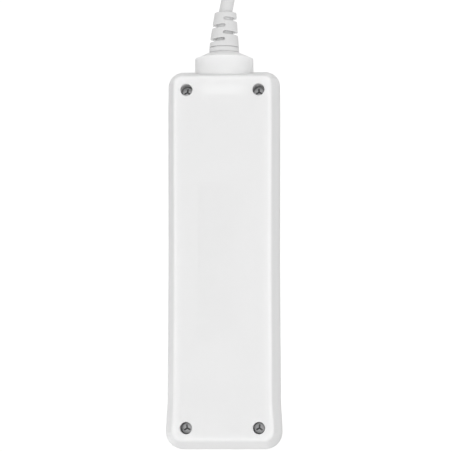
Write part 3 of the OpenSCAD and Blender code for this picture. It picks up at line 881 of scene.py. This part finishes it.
@dataclass
class MainsCord:
    """The mains cord: out of the strain relief, over a tied hank wound from the top down, and on to the plug."""

    diameter: float = 7.2
    length_m: float = 1.5
    outlet: Point = (-0.7, 134.7, 21.0)
    near_fold: float = 183.0
    run: float = 80.0
    waist_pull: float = 11.0
    waist_lift: float = 1.3
    run_steps: int = 16
    fold_steps: int = 18
    lead: Sequence[Point] = (
        (-0.3, 128.0, 21.0), (-0.7, 134.7, 21.0), (-1.3, 138.0, 21.0), (-2.1, 142.0, 20.9), (-3.4, 147.0, 20.5),
        (-5.6, 152.0, 19.9), (-8.6, 157.0, 19.3), (-12.0, 162.0, 18.8), (-15.7, 167.0, 18.4), (-19.2, 172.0, 18.1),
        (-22.4, 177.0, 18.0), (-24.6, 181.0, 18.0), (-25.2, 183.2, 18.0),
    )  # fmt: skip
    tail: Sequence[Point] = (
        (-28.8, 262.8, 3.8), (-28.8, 266.0, 3.8), (-28.8, 270.0, 3.8), (-28.6, 275.0, 3.9), (-27.8, 281.0, 4.0),
        (-26.0, 287.0, 4.2), (-23.4, 293.0, 4.5), (-20.2, 299.0, 4.8), (-16.9, 305.0, 5.2), (-14.0, 311.0, 5.4),
        (-12.0, 317.0, 5.5), (-11.1, 322.0, 5.5), (-11.0, 325.0, 5.5), (-11.0, 331.0, 5.5),
    )  # fmt: skip
    turns: Sequence[tuple[Strand, Strand, float, float]] = (
        (Strand.TOP, Strand.UPPER_OUTER, 0.6, 1.0),
        (Strand.UPPER_OUTER, Strand.UPPER_INNER, 0.4, 0.75),
        (Strand.UPPER_INNER, Strand.LOWER_INNER, 0.15, 0.5),
        (Strand.LOWER_INNER, Strand.LOWER_OUTER, 0.0, 0.3),
    )

    @property
    def waist(self) -> float:
        """Where the strap pulls the hank together."""
        return self.near_fold + self.run / 2

    def beside(self, side: int, share: float, radius: float, height: float) -> Vector:
        """A point on one of the two runs.

        Args:
            side: -1 or 1, the side of the hank.
            share: How far along the run it is, from the near fold.
            radius: The strand's radius at the folds.
            height: The strand's height at the folds.

        Returns:
            The point.
        """
        y = self.near_fold + share * self.run
        pull = self.waist_pull * (1 - math.cos(math.tau * share)) / 2
        lift = self.waist_lift * smooth((26 - abs(y - self.waist)) / 18)
        return Vector((side * (radius - pull), y, height + lift))

    def round_fold(self, y: float, start: float, strand: tuple[float, float]) -> list[Vector]:
        """Points round a fold, without its two ends.

        Args:
            y: The fold's centre.
            start: The angle at which it starts; it ends half a turn on, clockwise.
            strand: The strand's radius and height.

        Returns:
            The points.
        """
        angles = [math.radians(start - 180 * k / self.fold_steps) for k in range(1, self.fold_steps)]
        return [Vector((strand[0] * math.cos(a), y + strand[0] * math.sin(a), strand[1])) for a in angles]

    def windings(self) -> list[Vector]:
        """The hank's own points, from just after the lead to just before the tail."""
        shares = [k / self.run_steps for k in range(self.run_steps + 1)]
        points = []
        for number, (rising, falling, begin, end) in enumerate(self.turns):
            radius, height = rising.value
            for share in shares[1 if number == 0 else 0 :]:
                settle = between(0.9, 0.0, smooth(3 * share)) if number == 0 else 0.0
                points.append(self.beside(-1, share, radius, height + settle))
            points += self.round_fold(self.near_fold + self.run, 180.0, rising.value)
            for share in shares:
                moved = smooth((share - begin) / (end - begin))
                to = [between(a, b, moved) for a, b in zip(rising.value, falling.value)]
                points.append(self.beside(1, 1 - share, to[0], to[1]))
            points += self.round_fold(self.near_fold, 0.0, falling.value)
        points += [self.beside(-1, share, *Strand.LOWER_OUTER.value) for share in shares[:-1]]
        return points

    def eased_line(self, points: Sequence[Point], cuts: int = 4) -> list[Vector]:
        """A smooth line through all points.

        Args:
            points: The points.
            cuts: Into how many steps each gap is divided.

        Returns:
            The finer points.
        """
        line = [Vector(p) for p in points]
        ends = [2 * line[0] - line[1], *line, 2 * line[-1] - line[-2]]
        fine = []
        for a, b, c, d in zip(ends, ends[1:], ends[2:], ends[3:]):
            for k in range(cuts):
                t = k / cuts
                fine.append(
                    (2 * b + (c - a) * t + (2 * a - 5 * b + 4 * c - d) * t**2 + (3 * b - a - 3 * c + d) * t**3) / 2
                )
        return [*fine, line[-1]]

    def centreline(self) -> list[Vector]:
        """The whole cord's line, in millimetres."""
        return [*self.eased_line(self.lead), *self.windings(), *self.eased_line(self.tail)]

    def cord(self) -> bpy.types.Object:
        """Makes the cord as a round curve."""
        points = self.centreline()
        data = bpy.data.curves.new("mains_cord", "CURVE")
        data.dimensions = "3D"
        data.twist_mode = "MINIMUM"
        data.bevel_depth = self.diameter / 2 * MM
        data.bevel_resolution = 6
        data.use_fill_caps = True
        spline = data.splines.new("POLY")
        spline.points.add(len(points) - 1)
        for spot, point in zip(spline.points, points):
            spot.co = (*(point * MM), 1.0)
        data.materials.append(Paints.of(CORD_WHITE))
        made = bpy.data.objects.new("mains_cord", data)
        bpy.context.scene.collection.objects.link(made)
        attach(made, HOUSING_BODY)
        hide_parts("cord_lead", "cord_hank", "cord_tail")
        log.info("mains_cord: %d points", len(points))
        return made

    def strap(self) -> bpy.types.Object:
        """Makes the strap round the hank's waist, with its free end pressed down on top."""
        width, reach, low, high, thick = 12.0, 21.7, 1.2, 22.1, 1.2
        half = width / 2
        y0, y1 = self.waist - half, self.waist + half
        bands = []
        for grow, past, corner in ((thick, 0.0, 5.6), (0.0, 1.0, 4.6)):
            band = Solid.box((-reach - grow, y0 - past, low - grow), (reach + grow, y1 + past, high + grow))
            bands.append(band.rounded(band.running(1, half), corner, 8))
        strap = bands[0].minus(bands[1])
        flap = Solid.box((-4.0, y0, high + thick - 0.05), (15.0, y1, high + 2 * thick - 0.2))
        flap.rounded([e for e in flap.running(2, 0.5) if e.verts[0].co.x < 0], 4.0, 6)
        whole = strap.eased(0.3, 50.0).with_loose(flap.eased(0.25, 50.0))
        return whole.piece("cord_strap", STRAP, HOUSING_BODY, ["cord_tie"])


@dataclass
class CordOutlet:
    """The strain relief: a collar, a ring groove, and a tapered tail with staggered slots."""

    axis: Point = (0.0, 0.0, 21.0)
    bore: float = 3.62
    flange: float = 9.0
    flange_ys: Point = (104.8, 107.95)
    throat: float = 6.05
    collar: float = 8.1
    shoulder_y: float = 112.85
    groove_y: float = 115.5
    end_y: float = 134.7
    root: float = 8.0
    tip: float = 5.8
    core: float = 4.5
    slot: float = 1.8
    pitch: float = 3.8
    first_slot: float = 3.1
    lean: float = 0.75

    def slots(self) -> list[Solid]:
        """The slots' shapes, each round from the middle outwards and sloping a little down."""
        cuts = []
        for number in range(4):
            side = 1 if number % 2 == 0 else -1
            half = self.slot / 2
            y = self.groove_y + self.first_slot + half + number * self.pitch
            inner, outer = sorted((0.3 * side, 12.0 * side))
            slot = Solid.box((inner, y - half, 10.0), (outer, y + half, 32.0))
            slot.plus(Solid.rod(half, (0.3 * side, y, 10.0), (0.3 * side, y, 32.0), sides=24))
            slot.minus(Solid.rod(self.core, (0, y - 3, self.axis[2]), (0, y + 3, self.axis[2])))
            cuts.append(slot.rotated(-4.0 * side, "Z", (0, y, 0)))
        return cuts

    def leaning(self, point: Vector) -> Vector:
        """Bends the tail a little to one side, as the cord pulls it."""
        share = max(0.0, (point.y - self.groove_y) / (self.end_y - self.groove_y))
        return point - Vector((self.lean * share**1.5, 0, 0))

    def build(self) -> bpy.types.Object:
        """Makes the strain relief."""
        g, z = self.groove_y, self.axis[2]
        start, end = self.flange_ys
        shares = [k / 10 for k in range(1, 11)]
        profile = [
            (0.0, start), (self.flange, start), (self.flange, end), (self.throat, end),
            (self.throat, self.shoulder_y), (self.collar, self.shoulder_y), (self.collar, g - 0.25),
            (self.root - 0.9, g - 0.2), (self.root - 0.9, g + 0.2), (self.root, g + 0.25),
            *[(between(self.root, self.tip + 0.2, t), between(g + 0.8, self.end_y - 0.9, t)) for t in shares],
            *arc((self.tip - 0.5, self.end_y - 0.7), 0.7, 10, 90, 5), (0.0, self.end_y),
        ]  # fmt: skip
        relief = Solid.turned(profile, self.axis, Y, steps=80)
        relief.minus(Solid.rod(self.bore, (0, 100, z), (0, 140, z)), *self.slots())
        relief.eased(0.12, 50.0, 2).reshaped(self.leaning)
        return relief.piece("strain_relief_moulding", CORD_WHITE, HOUSING_BODY, ["strain_relief"])


# ---------------------------------------------------------------- housing


@dataclass
class Housing:
    """The back cover and the front shell, lofted from one plan outline, with half of the neck on each."""

    width: float = 60.0
    length: float = 202.0
    height: float = 41.0
    parting: float = 21.0
    wall: float = 2.2
    far_flare: float = 0.8
    far_flare_y: float = -74.0
    cord_flare: float = 0.2
    cord_flare_y: float = 78.0
    flare_length: float = 17.0
    taper: float = 0.3 / 80
    cord_lean: float = 1.2
    far_corner: float = 9.4
    cord_corner: float = 8.0
    back_inset: float = 5.9
    back_edge: float = 2.0
    flank_angle: float = 78.0
    front_edge: float = 4.0
    front_draft: float = 0.5
    screw_x: float = 19.2
    screw_y: float = 89.7
    counterbore: float = 3.2
    seat: float = 13.0
    tower: float = 4.6
    shank_hole: float = 1.7
    clamp_at: Point = (9.5, 90.0)
    clamp_top: float = 17.35
    neck: float = 15.8
    neck_start: float = 96.0
    neck_end: float = 109.2
    shoulder_end: float = 112.8
    collar: float = 8.1
    neck_fillet: Sequence[Point] = ((1.2, 0.6), (0.6, 0.4), (0.02, 0.0))
    seam_turn: float = -26.0
    panel_low: Point = (-5.3, -40.0, -1.0)
    panel_high: Point = (12.7, 40.0, 0.16)
    socket_ys: Sequence[float] = (-70.0, -24.0, 22.0)
    socket_hole: float = 21.2
    switch_hole: Point = (10.9, 49.7, 78.3)
    joint_easing: float = 0.2

    def flare(self, y: float) -> float:
        """How far a side stands out beyond half the width.

        Args:
            y: The place along the housing.

        Returns:
            The distance, below 0 where the side is narrower.
        """
        low = -self.length / 2 + self.far_corner
        high = self.length / 2 - self.cord_corner
        held = min(max(y, low), high)
        far = smooth((self.far_flare_y - held) / self.flare_length)
        near = smooth((held - self.cord_flare_y) / self.flare_length)
        return self.far_flare * far + self.cord_flare * near - self.taper * held

    def lean_out(self, verts: Iterable[bmesh.types.BMVert], rise: float) -> None:
        """Moves the points of the cord end outwards, as its flank leans out from the back to the parting line.

        Args:
            verts: The points.
            rise: How far outside the flat back's outline they are, or how much that changes.
        """
        for vert in verts:
            if vert.co.y > self.length / 4:
                vert.co.y += self.cord_lean * rise / self.back_inset

    def plan(self, inset: float, z: float) -> tuple[bmesh.types.BMesh, bmesh.types.BMFace]:
        """The plan outline as one flat face.

        Args:
            inset: How far it lies inside the outline at the parting line.
            z: Its height.

        Returns:
            The bmesh and its face.
        """
        mesh = bmesh.new()
        bmesh.ops.create_grid(mesh, x_segments=1, y_segments=1, size=0.5)
        size = (self.width - 2 * inset, self.length - 2 * inset, 1.0)
        bmesh.ops.scale(mesh, vec=size, verts=mesh.verts)
        for end, radius in ((-1, self.far_corner), (1, self.cord_corner)):
            bmesh.ops.bevel(
                mesh,
                geom=[v for v in mesh.verts if v.co.y * end > self.length / 4],
                offset=radius - inset,
                segments=12,
                profile=0.5,
                affect="VERTICES",
                material=-1,
            )
            mesh.verts.ensure_lookup_table()
        sides = [e for e in mesh.edges if abs((e.verts[0].co - e.verts[1].co).y) > self.length / 2]
        bmesh.ops.subdivide_edges(mesh, edges=sides, cuts=47)
        bmesh.ops.dissolve_faces(mesh, faces=mesh.faces)
        for vert in mesh.verts:
            vert.co.x += math.copysign(self.flare(vert.co.y), vert.co.x)
            vert.co.z = z
        self.lean_out(mesh.verts, self.back_inset - inset)
        mesh.faces.ensure_lookup_table()
        mesh.normal_update()
        return mesh, mesh.faces[0]

    def lofted(self, levels: Sequence[tuple[float, float]]) -> Solid:
        """A solid whose outline steps inwards from level to level.

        Args:
            levels: Pairs of (inset, height), the widest first.

        Returns:
            The solid.
        """
        mesh, cap = self.plan(*levels[0])
        rising = levels[-1][1] > levels[0][1]
        if (cap.normal.z > 0) != rising:
            cap.normal_flip()
        for (inset, z), (next_inset, next_z) in zip(levels, levels[1:]):
            bmesh.ops.inset_region(
                mesh,
                faces=[cap],
                thickness=next_inset - inset,
                depth=abs(next_z - z),
                use_boundary=True,
                use_even_offset=True,
            )
            self.lean_out(cap.verts, inset - next_inset)
        bmesh.ops.edgeloop_fill(mesh, edges=[e for e in mesh.edges if e.is_boundary])
        return Solid(mesh).outward()

    def at_screws(self) -> list[tuple[float, float]]:
        """The four places of the housing screws."""
        return [(x * self.screw_x, y * self.screw_y) for x in (-1, 1) for y in (-1, 1)]

    def half_neck(self, side: int) -> Solid:
        """Half of the neck: -1 is the back's half, 1 the front's."""
        profile = [
            (0.0, self.neck_start), (self.neck, self.neck_start),
            *arc((self.neck - 0.8, self.neck_end - 0.4), 0.8, 0, 45, 4),
            *[(self.collar + out, self.shoulder_end - down) for out, down in self.neck_fillet],
            (0.0, self.shoulder_end),
        ]  # fmt: skip
        return Solid.turned(profile, (0, 0, self.parting), Y, steps=96).kept((0, 0, self.parting), (0, 0, -side))

    def neck_hollow(self) -> list[Solid]:
        """What is hollow inside the neck."""
        z = self.parting
        return [Solid.rod(13.4, (0, 95, z), (0, 108.0, z)), Solid.rod(6.1, (0, 96, z), (0, 114, z))]

    def back_cover(self) -> bpy.types.Object:
        """Makes the back cover, with its deep screw recesses and a shallow panel for a label."""
        steps = [math.radians(self.flank_angle * (1 - k / 7)) for k in range(8)]
        edge = [(self.back_inset - self.back_edge * math.sin(a), self.back_edge * (1 - math.cos(a))) for a in steps]
        cover = self.lofted([(0.0, self.parting), *edge]).plus(self.half_neck(-1))
        cover.minus(self.lofted([(self.wall, self.parting + 1), (edge[0][0] + self.wall, self.wall)]))
        towers = [Solid.rod(self.tower, (x, y, 0.5), (x, y, self.seat + 2)) for x, y in self.at_screws()]
        cx, cy = self.clamp_at
        low, top = self.wall - 0.1, self.clamp_top
        saddle = Solid.box((-cx, cy - 3, low), (cx, cy + 3, top))
        posts = [Solid.rod(3.2, (x, cy, low), (x, cy, top)) for x in (-cx, cx)]
        cover.plus(*towers, saddle, *posts).minus(*self.neck_hollow())
        for x, y in self.at_screws():
            cover.minus(
                Solid.rod(self.counterbore, (x, y, -1), (x, y, self.seat)),
                Solid.rod(self.shank_hole, (x, y, 5), (x, y, self.seat + 4)),
            )
        cover.minus(*[Solid.rod(1.25, (x, cy, 6), (x, cy, 22)) for x in (-cx, cx)])
        cover.eased(self.joint_easing, 40.0)
        panel = Solid.box(self.panel_low, self.panel_high)
        panel.rounded(panel.running(2, 0.5), 1.2, 5)
        seam = Solid.box((-17, 102, self.parting - 0.12), (0.15 - self.neck, self.neck_end - 0.1, self.parting + 0.12))
        cover.minus(panel, seam.rotated(self.seam_turn, "Y", (0, 0, self.parting)))
        return cover.piece("back_cover_moulding", HOUSING, HOUSING_BODY, ["back_cover"])

    def front_shell(self) -> bpy.types.Object:
        """Makes the front shell, with its socket and switch openings and the screw bosses inside."""
        rim = self.height - self.front_edge
        steps = [math.radians(90 * k / 9) for k in range(10)]
        edge = [
            (self.front_draft + self.front_edge * (1 - math.cos(a)), rim + self.front_edge * math.sin(a)) for a in steps
        ]
        shell = self.lofted([(0.0, self.parting), *edge]).plus(self.half_neck(1))
        low, inner, deep = self.wall, self.wall + self.front_draft, self.wall + 3
        shell.minus(self.lofted([(low, self.parting - 1), (inner, rim), (deep, self.height - self.wall)]))
        bosses = [Solid.rod(3.6, (x, y, self.seat + 2.2), (x, y, self.height - 1)) for x, y in self.at_screws()]
        shell.plus(*bosses).minus(*self.neck_hollow())
        shell.minus(*[Solid.rod(1.55, (x, y, 14), (x, y, self.seat + 20)) for x, y in self.at_screws()])
        top = self.height
        for y in self.socket_ys:
            shell.minus(Solid.rod(self.socket_hole, (0, y, top - 4), (0, y, top + 1), sides=96))
        x, y0, y1 = self.switch_hole
        shell.minus(Solid.box((-x, y0, top - 4), (x, y1, top + 1)))
        shell.eased(self.joint_easing, 40.0)
        return shell.piece("front_shell_moulding", HOUSING, HOUSING_BODY, ["front_shell"])

    def screws(self) -> bpy.types.Object:
        """Makes the four pan-head screws with their three-winged recesses."""
        made = []
        half, reach, low, deep = 0.42, 1.6, 10.0, 12.7
        profile = [
            (0.0, 10.86), (1.2, 10.9), *arc((2.4, 11.6), 0.6, -90, 0, 5), (3.0, self.seat), (1.5, self.seat),
            (1.5, 30.0), (0.0, 30.6),
        ]  # fmt: skip
        for x, y in self.at_screws():
            screw = Solid.turned(profile, (x, y, 0), Z, steps=48)
            for wing in range(3):
                turn = 90 + 4 * math.copysign(1, x * y) + 120 * wing
                arm = Solid.box((-0.2, -half, low), (reach, half, deep))
                arm.plus(Solid.rod(half, (reach, 0, low), (reach, 0, deep), sides=16))
                screw.minus(arm.rotated(turn, "Z").moved((x, y, 0)))
            made.append(screw.eased(0.07, 50.0))
        return made[0].with_loose(*made[1:]).piece("recessed_screws", SCREW_STEEL, HOUSING_BODY, ["housing_screws"])

    def build(self) -> list[bpy.types.Object]:
        """Makes the housing's pieces."""
        return [self.back_cover(), self.front_shell(), self.screws()]


# ---------------------------------------------------------------- sockets and switch


@dataclass
class SocketRow:
    """The three round earthed sockets."""

    ys: Sequence[float] = (-70.0, -24.0, 22.0)
    face: float = 41.0
    well: float = 19.6
    well_floor: float = 23.5
    floor: float = 21.5
    cup: float = 21.0
    rim: float = 22.8
    rim_height: float = 0.9
    pin_x: float = 9.5
    pin_hole: float = 2.75
    rib: float = 2.2
    rib_top: float = 36.4
    slot_ys: Point = (17.2, 19.5)
    slot_half: float = 3.6
    post: float = 2.0
    post_low: float = 18.1

    def insert(self, number: int, y: float) -> bpy.types.Object:
        """Makes one socket insert.

        Args:
            number: The socket's number, from 1.
            y: Its place along the housing.

        Returns:
            The piece.
        """
        top = self.face + self.rim_height
        profile = [
            (0.0, self.floor), (self.cup, self.floor), (self.cup, self.face + 0.02), (self.rim, self.face + 0.02),
            *arc((self.rim - 0.6, top - 0.6), 0.6, 0, 90, 5),
            *arc((self.well + 0.9, top - 0.9), 0.9, 90, 180, 6),
            *arc((self.well - 0.6, self.well_floor + 0.6), 0.6, 0, -90, 4)[:-1],
            (self.well - 0.6, self.well_floor), (14.6, self.well_floor), (14.3, self.well_floor - 0.35),
            (13.1, self.well_floor - 0.35), (12.8, self.well_floor), (0.0, self.well_floor),
        ]  # fmt: skip
        socket = Solid.turned(profile, (0, y, 0), Z, steps=112)
        low, end = self.well_floor - 0.3, self.rib_top
        round_top = arc((self.rib - 1.4, end), 1.4, 0, 90, 5)[1:]
        shape = [(0.0, low), (self.rib, low), (self.rib, end), *round_top, (0.0, end + 1.4)]
        ribs = [Solid.turned(shape, (x, y, 0), Z, steps=40) for x in (-self.well, self.well)]
        socket.plus(*ribs, Solid.rod(self.post, (0, y, self.post_low), (0, y, self.floor + 0.2)))
        for x in (-self.pin_x, self.pin_x):
            mouth = (x, y, self.well_floor - 0.7), (x, y, self.well_floor + 0.1)
            socket.minus(Solid.rod(self.pin_hole, (x, y, 20), (x, y, 26), sides=40))
            socket.minus(Solid.rod(self.pin_hole, *mouth, 3.55, sides=40))
        for s in (-1, 1):
            near, far = sorted((s * self.slot_ys[0], s * self.slot_ys[1]))
            socket.minus(Solid.box((-self.slot_half, y + near, 20), (self.slot_half, y + far, 25)))
        socket.eased(0.1, 45.0)
        return socket.piece(f"socket_{number}_moulding", SOCKET, HOUSING_BODY, [f"socket_insert_{number}"])

    def build(self) -> list[bpy.types.Object]:
        """Makes the three inserts."""
        return [self.insert(k + 1, y) for k, y in enumerate(self.ys)]


@dataclass
class RockerSwitch:
    """The lit rocker and the frame that it tilts in."""

    y: float = 64.0
    face: float = 41.0
    low: float = 19.0
    outer: Point = (10.8, 14.2)
    inner: Point = (8.7, 12.1)
    bezel: Point = (12.6, 16.0)
    bezel_height: float = 1.2
    pivot_z: float = 36.5
    half_width: float = 8.2
    half_length: float = 10.8
    tilt: float = 10.0
    lever_x: float = 6.0

    def block(self, half: Point, low: float, high: float) -> Solid:
        """A box about the switch's middle, half as wide and long as half says."""
        return Solid.box((-half[0], self.y - half[1], low), (half[0], self.y + half[1], high))

    def frame(self) -> bpy.types.Object:
        """Makes the frame, with its bezel and the levers' axle."""
        frame = self.block(self.outer, self.low, self.face + 0.4)
        bezel = self.block(self.bezel, self.face, self.face + self.bezel_height)
        bezel.rounded(bezel.running(2, 1.0), 1.6, 6)
        bezel.rounded([e for e in bezel.mesh.edges if min(v.co.z for v in e.verts) > self.face + 1.1], 0.6, 4)
        frame.plus(bezel)
        frame.minus(self.block(self.inner, self.low + 1.5, self.face + 3))
        frame.minus(Solid.rod(1.55, (-10.2, self.y, self.pivot_z), (10.2, self.y, self.pivot_z)))
        for x in (-self.lever_x, self.lever_x):
            for y in (self.y - 8, self.y + 8):
                frame.minus(Solid.box((x - 0.5, y - 2.5, self.low - 3), (x + 0.5, y + 2.5, self.low + 3)))
        frame.plus(Solid.rod(1.0, (-8.9, self.y, 24.4), (8.9, self.y, 24.4)))
        frame.eased(0.12, 50.0)
        return frame.piece("switch_bezel_frame", FRAME_BLACK, HOUSING_BODY, ["switch_frame"])

    def rocker(self) -> bpy.types.Object:
        """Makes the rocker: two dished faces that meet in a soft ridge, a bar mark and a ring mark."""
        rise, half = 6.0, self.half_length
        drop = half * math.tan(math.radians(self.tilt))
        face = []
        for k in range(17):
            share = between(-1, 1, k / 16)
            dish = 0.35 * math.sin(math.pi * abs(share)) ** 2
            face.append((share * half, rise - drop * (1 - abs(share)) - dish + 0.12 * math.exp(-((share / 0.12) ** 2))))
        outline = [*face, (half, 1.6), (7.0, -2.5), (-7.0, -2.5), (-half, 1.6)]
        width = self.half_width
        points = [(-width, self.y + a, self.pivot_z + b) for a, b in outline]
        rocker = Solid.drawn(points, (2 * width, 0, 0)).eased(0.45, 50.0, 3)
        for x in (-self.lever_x, self.lever_x):
            rocker.plus(Solid.rod(1.2, (x, self.y, 28.0), (x, self.y, self.pivot_z), sides=24))
        rocker.plus(Solid.rod(1.5, (-10, self.y, self.pivot_z), (10, self.y, self.pivot_z), sides=32))
        top = self.pivot_z + rise
        ring_at, bar_at = (0, self.y + 6.4, top - 1.05), (0, self.y - 6.6, top - 1.05)
        ring = Solid.turned([(1.9, -0.35), (2.5, -0.35), (2.5, 3), (1.9, 3)], ring_at, Z, ring=True)
        bar = Solid.box((-0.3, self.y - 8.8, top - 1.4), (0.3, self.y - 4.4, top + 3))
        rocker.minus(ring.rotated(8.0, "X", ring_at), bar.rotated(-8.0, "X", bar_at))
        rocker.rotated(self.tilt, "X", (0, self.y, self.pivot_z))
        return rocker.piece("lit_rocker", ROCKER_RED, "rocker", ["switch_rocker"])

    def build(self) -> list[bpy.types.Object]:
        """Makes the frame and the rocker."""
        return [self.frame(), self.rocker()]


# ---------------------------------------------------------------- plug


@dataclass
class AngledPlug:
    """The earthed plug on the cord's far end, lying on its back with its pins up."""

    x: float = -11.0
    y: float = 366.0
    grip: float = 20.0
    grip_height: float = 11.0
    nose: float = 18.6
    nose_top: float = 28.5
    cord_z: float = 5.5
    outlet_y: float = 343.0
    relief_y: float = 325.0
    pin_x: float = 9.5
    pin: float = 2.4
    pin_top: float = 47.5

    def body(self) -> bpy.types.Object:
        """Makes the body: a round grip with flutes, a nose with its grooves, and the cord's outlet."""
        at = (self.x, self.y, 0)
        profile = [
            (0.0, 0.0), *arc((self.grip - 2.0, 2.0), 2.0, -90, 0, 7), (self.grip, self.grip_height - 1.2),
            *arc((self.grip - 1.2, self.grip_height - 1.2), 1.2, 0, 90, 5)[1:], (self.nose, self.grip_height),
            (self.nose, self.nose_top - 1.4), *arc((self.nose - 1.4, self.nose_top - 1.4), 1.4, 0, 90, 6)[1:],
            (0.0, self.nose_top),
        ]  # fmt: skip
        body = Solid.turned(profile, at, Z, steps=112)
        outlet = Solid.box((self.x - 7, self.outlet_y, 0), (self.x + 7, self.y, self.grip_height - 0.02))
        body.plus(outlet.rounded(outlet.running(1, 10), 3.2, 7))
        low, high = self.grip_height, self.nose_top + 1
        for s in (-1, 1):
            edge = sorted((s * self.nose - 2, s * self.nose + 2))
            body.minus(Solid.box((self.x - 4, self.y + edge[0], low), (self.x + 4, self.y + edge[1], high)))
            side_x = self.x + s * self.nose
            body.minus(Solid.rod(2.8, (side_x, self.y, low), (side_x, self.y, high), sides=40))
            pin_x = self.x + s * self.pin_x
            body.minus(Solid.rod(1.95, (pin_x, self.y, low), (pin_x, self.y, high), sides=40))
        body.eased(0.25, 45.0)
        out = self.grip + 0.25
        for turn in range(-4, 5):
            for side in (0, 180):
                flute = Solid.rod(0.7, (out, 0, 2.6), (out, 0, self.grip_height - 1.8), sides=16)
                body.minus(flute.rotated(side + 7.5 * turn, "Z").moved(at))
        return body.piece("plug_moulding", PLUG, HOUSING_BODY, ["plug_body"])

    def relief(self) -> bpy.types.Object:
        """Makes the plug's ribbed strain relief."""
        profile = [(0.0, self.relief_y), (4.1, self.relief_y), (4.4, self.relief_y + 0.4)]
        rings, length = 7, self.outlet_y - self.relief_y - 3
        for k in range(rings):
            start = self.relief_y + 1.2 + length * k / rings
            radius = between(4.4, 5.25, (k + 0.5) / rings)
            for inwards, on in ((0.0, 0.0), (0.55, 0.15), (0.55, 0.9), (0.0, 1.05)):
                profile.append((radius - inwards, start + on))
        profile += [(5.3, self.outlet_y - 1.2), (5.3, self.outlet_y + 0.4), (0.0, self.outlet_y + 0.4)]
        relief = Solid.turned(profile, (self.x, 0, self.cord_z), Y, steps=56).eased(0.1, 50.0)
        return relief.piece("plug_strain_relief", PLUG, HOUSING_BODY, ["plug_relief"])

    def pins(self) -> bpy.types.Object:
        """Makes the two pins."""
        low, top = self.grip_height + 0.1, self.pin_top
        profile = [(0.0, low), (1.9, low), (1.9, self.nose_top), (self.pin, self.nose_top), (self.pin, top - 1.6)]
        profile += [*arc((self.pin - 1.6, top - 1.6), 1.6, 10, 90, 7), (0.0, top)]
        both = [Solid.turned(profile, (self.x + s * self.pin_x, self.y, 0), Z, steps=40) for s in (-1, 1)]
        return both[0].with_loose(both[1]).piece("plug_pin_pair", NICKEL, HOUSING_BODY, ["plug_pins"])

    def earth_contacts(self) -> bpy.types.Object:
        """Makes the two side contacts, each a strip with a rounded top."""
        strips = []
        for s in (-1, 1):
            inner, outer = sorted((s * (self.nose - 2), s * (self.nose - 2) + s * 0.8))
            high = self.nose_top - 0.02
            strip = Solid.box((self.x - 3.5, self.y + inner, 11.5), (self.x + 3.5, self.y + outer, high))
            strip.rounded([e for e in strip.running(1, 0.5) if min(v.co.z for v in e.verts) > 20], 1.6, 5)
            strips.append(strip.eased(0.12, 60.0))
        return strips[0].with_loose(strips[1]).piece("plug_side_contacts", BRASS, HOUSING_BODY, ["plug_earth_contacts"])

    def build(self) -> list[bpy.types.Object]:
        """Makes the plug's pieces."""
        return [self.body(), self.relief(), self.pins(), self.earth_contacts()]


# ---------------------------------------------------------------- nodes that stay


@dataclass
class Insides:
    """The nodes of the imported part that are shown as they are, with softened edges and real finishes."""

    nodes: dict[str, bpy.types.Object]
    finishes: dict[str, Finish] = field(
        default_factory=lambda: {
            **{f"shutter_{k}": SHUTTER for k in (1, 2, 3)},
            **{f"shutter_spring_{k}": SPRING_STEEL for k in (1, 2, 3)},
            "live_busbar": BRASS,
            "neutral_busbar": BRASS,
            "earth_bar": BRASS,
            "switch_levers": BRASS,
            "switch_terminals": BRASS,
            "neon_lamp": GAS_GLASS,
            "cord_clamp": CLAMP,
            "clamp_screws": SCREW_STEEL,
            "inner_cord": CORD_WHITE,
            "live_wire": WIRE_BROWN,
            "neutral_wire": WIRE_BLUE,
            "earth_wire": WIRE_EARTH,
            "switched_live_wire": WIRE_BROWN,
            "switched_neutral_wire": WIRE_BLUE,
        }
    )
    round_nodes: Sequence[str] = ("spring", "wire", "cord", "lamp")

    def dress(self) -> None:
        """Gives every node its finish, and softens the edges of the flat ones."""
        for name, finish in self.finishes.items():
            node = self.nodes[name]
            for slot in node.material_slots:
                slot.material = Paints.of(finish)
            if not any(word in name for word in self.round_nodes):
                weld = node.modifiers.new("weld", "WELD")
                weld.merge_threshold = 0.002 * MM
                bevel = node.modifiers.new("soft_edges", "BEVEL")
                bevel.width = 0.1 * MM
                bevel.segments = 2
                bevel.limit_method = "ANGLE"
                bevel.angle_limit = math.radians(50)
                bevel.harden_normals = True
            log.info("%s: %s", name, finish.name)


# ---------------------------------------------------------------- whole


def main() -> None:
    """Builds the studio, the cord, and then the pieces of the strip."""
    logging.basicConfig(level=logging.INFO, format="%(name)s: %(message)s")
    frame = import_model()
    Studio().build()
    mains = MainsCord()
    cord = mains.cord()
    strap = mains.strap()
    relief = CordOutlet().build()
    plug = AngledPlug().build()
    Housing().build()
    SocketRow().build()
    RockerSwitch().build()
    Insides(frame["nodes"]).dress()


if __name__ == "__main__":
    main()
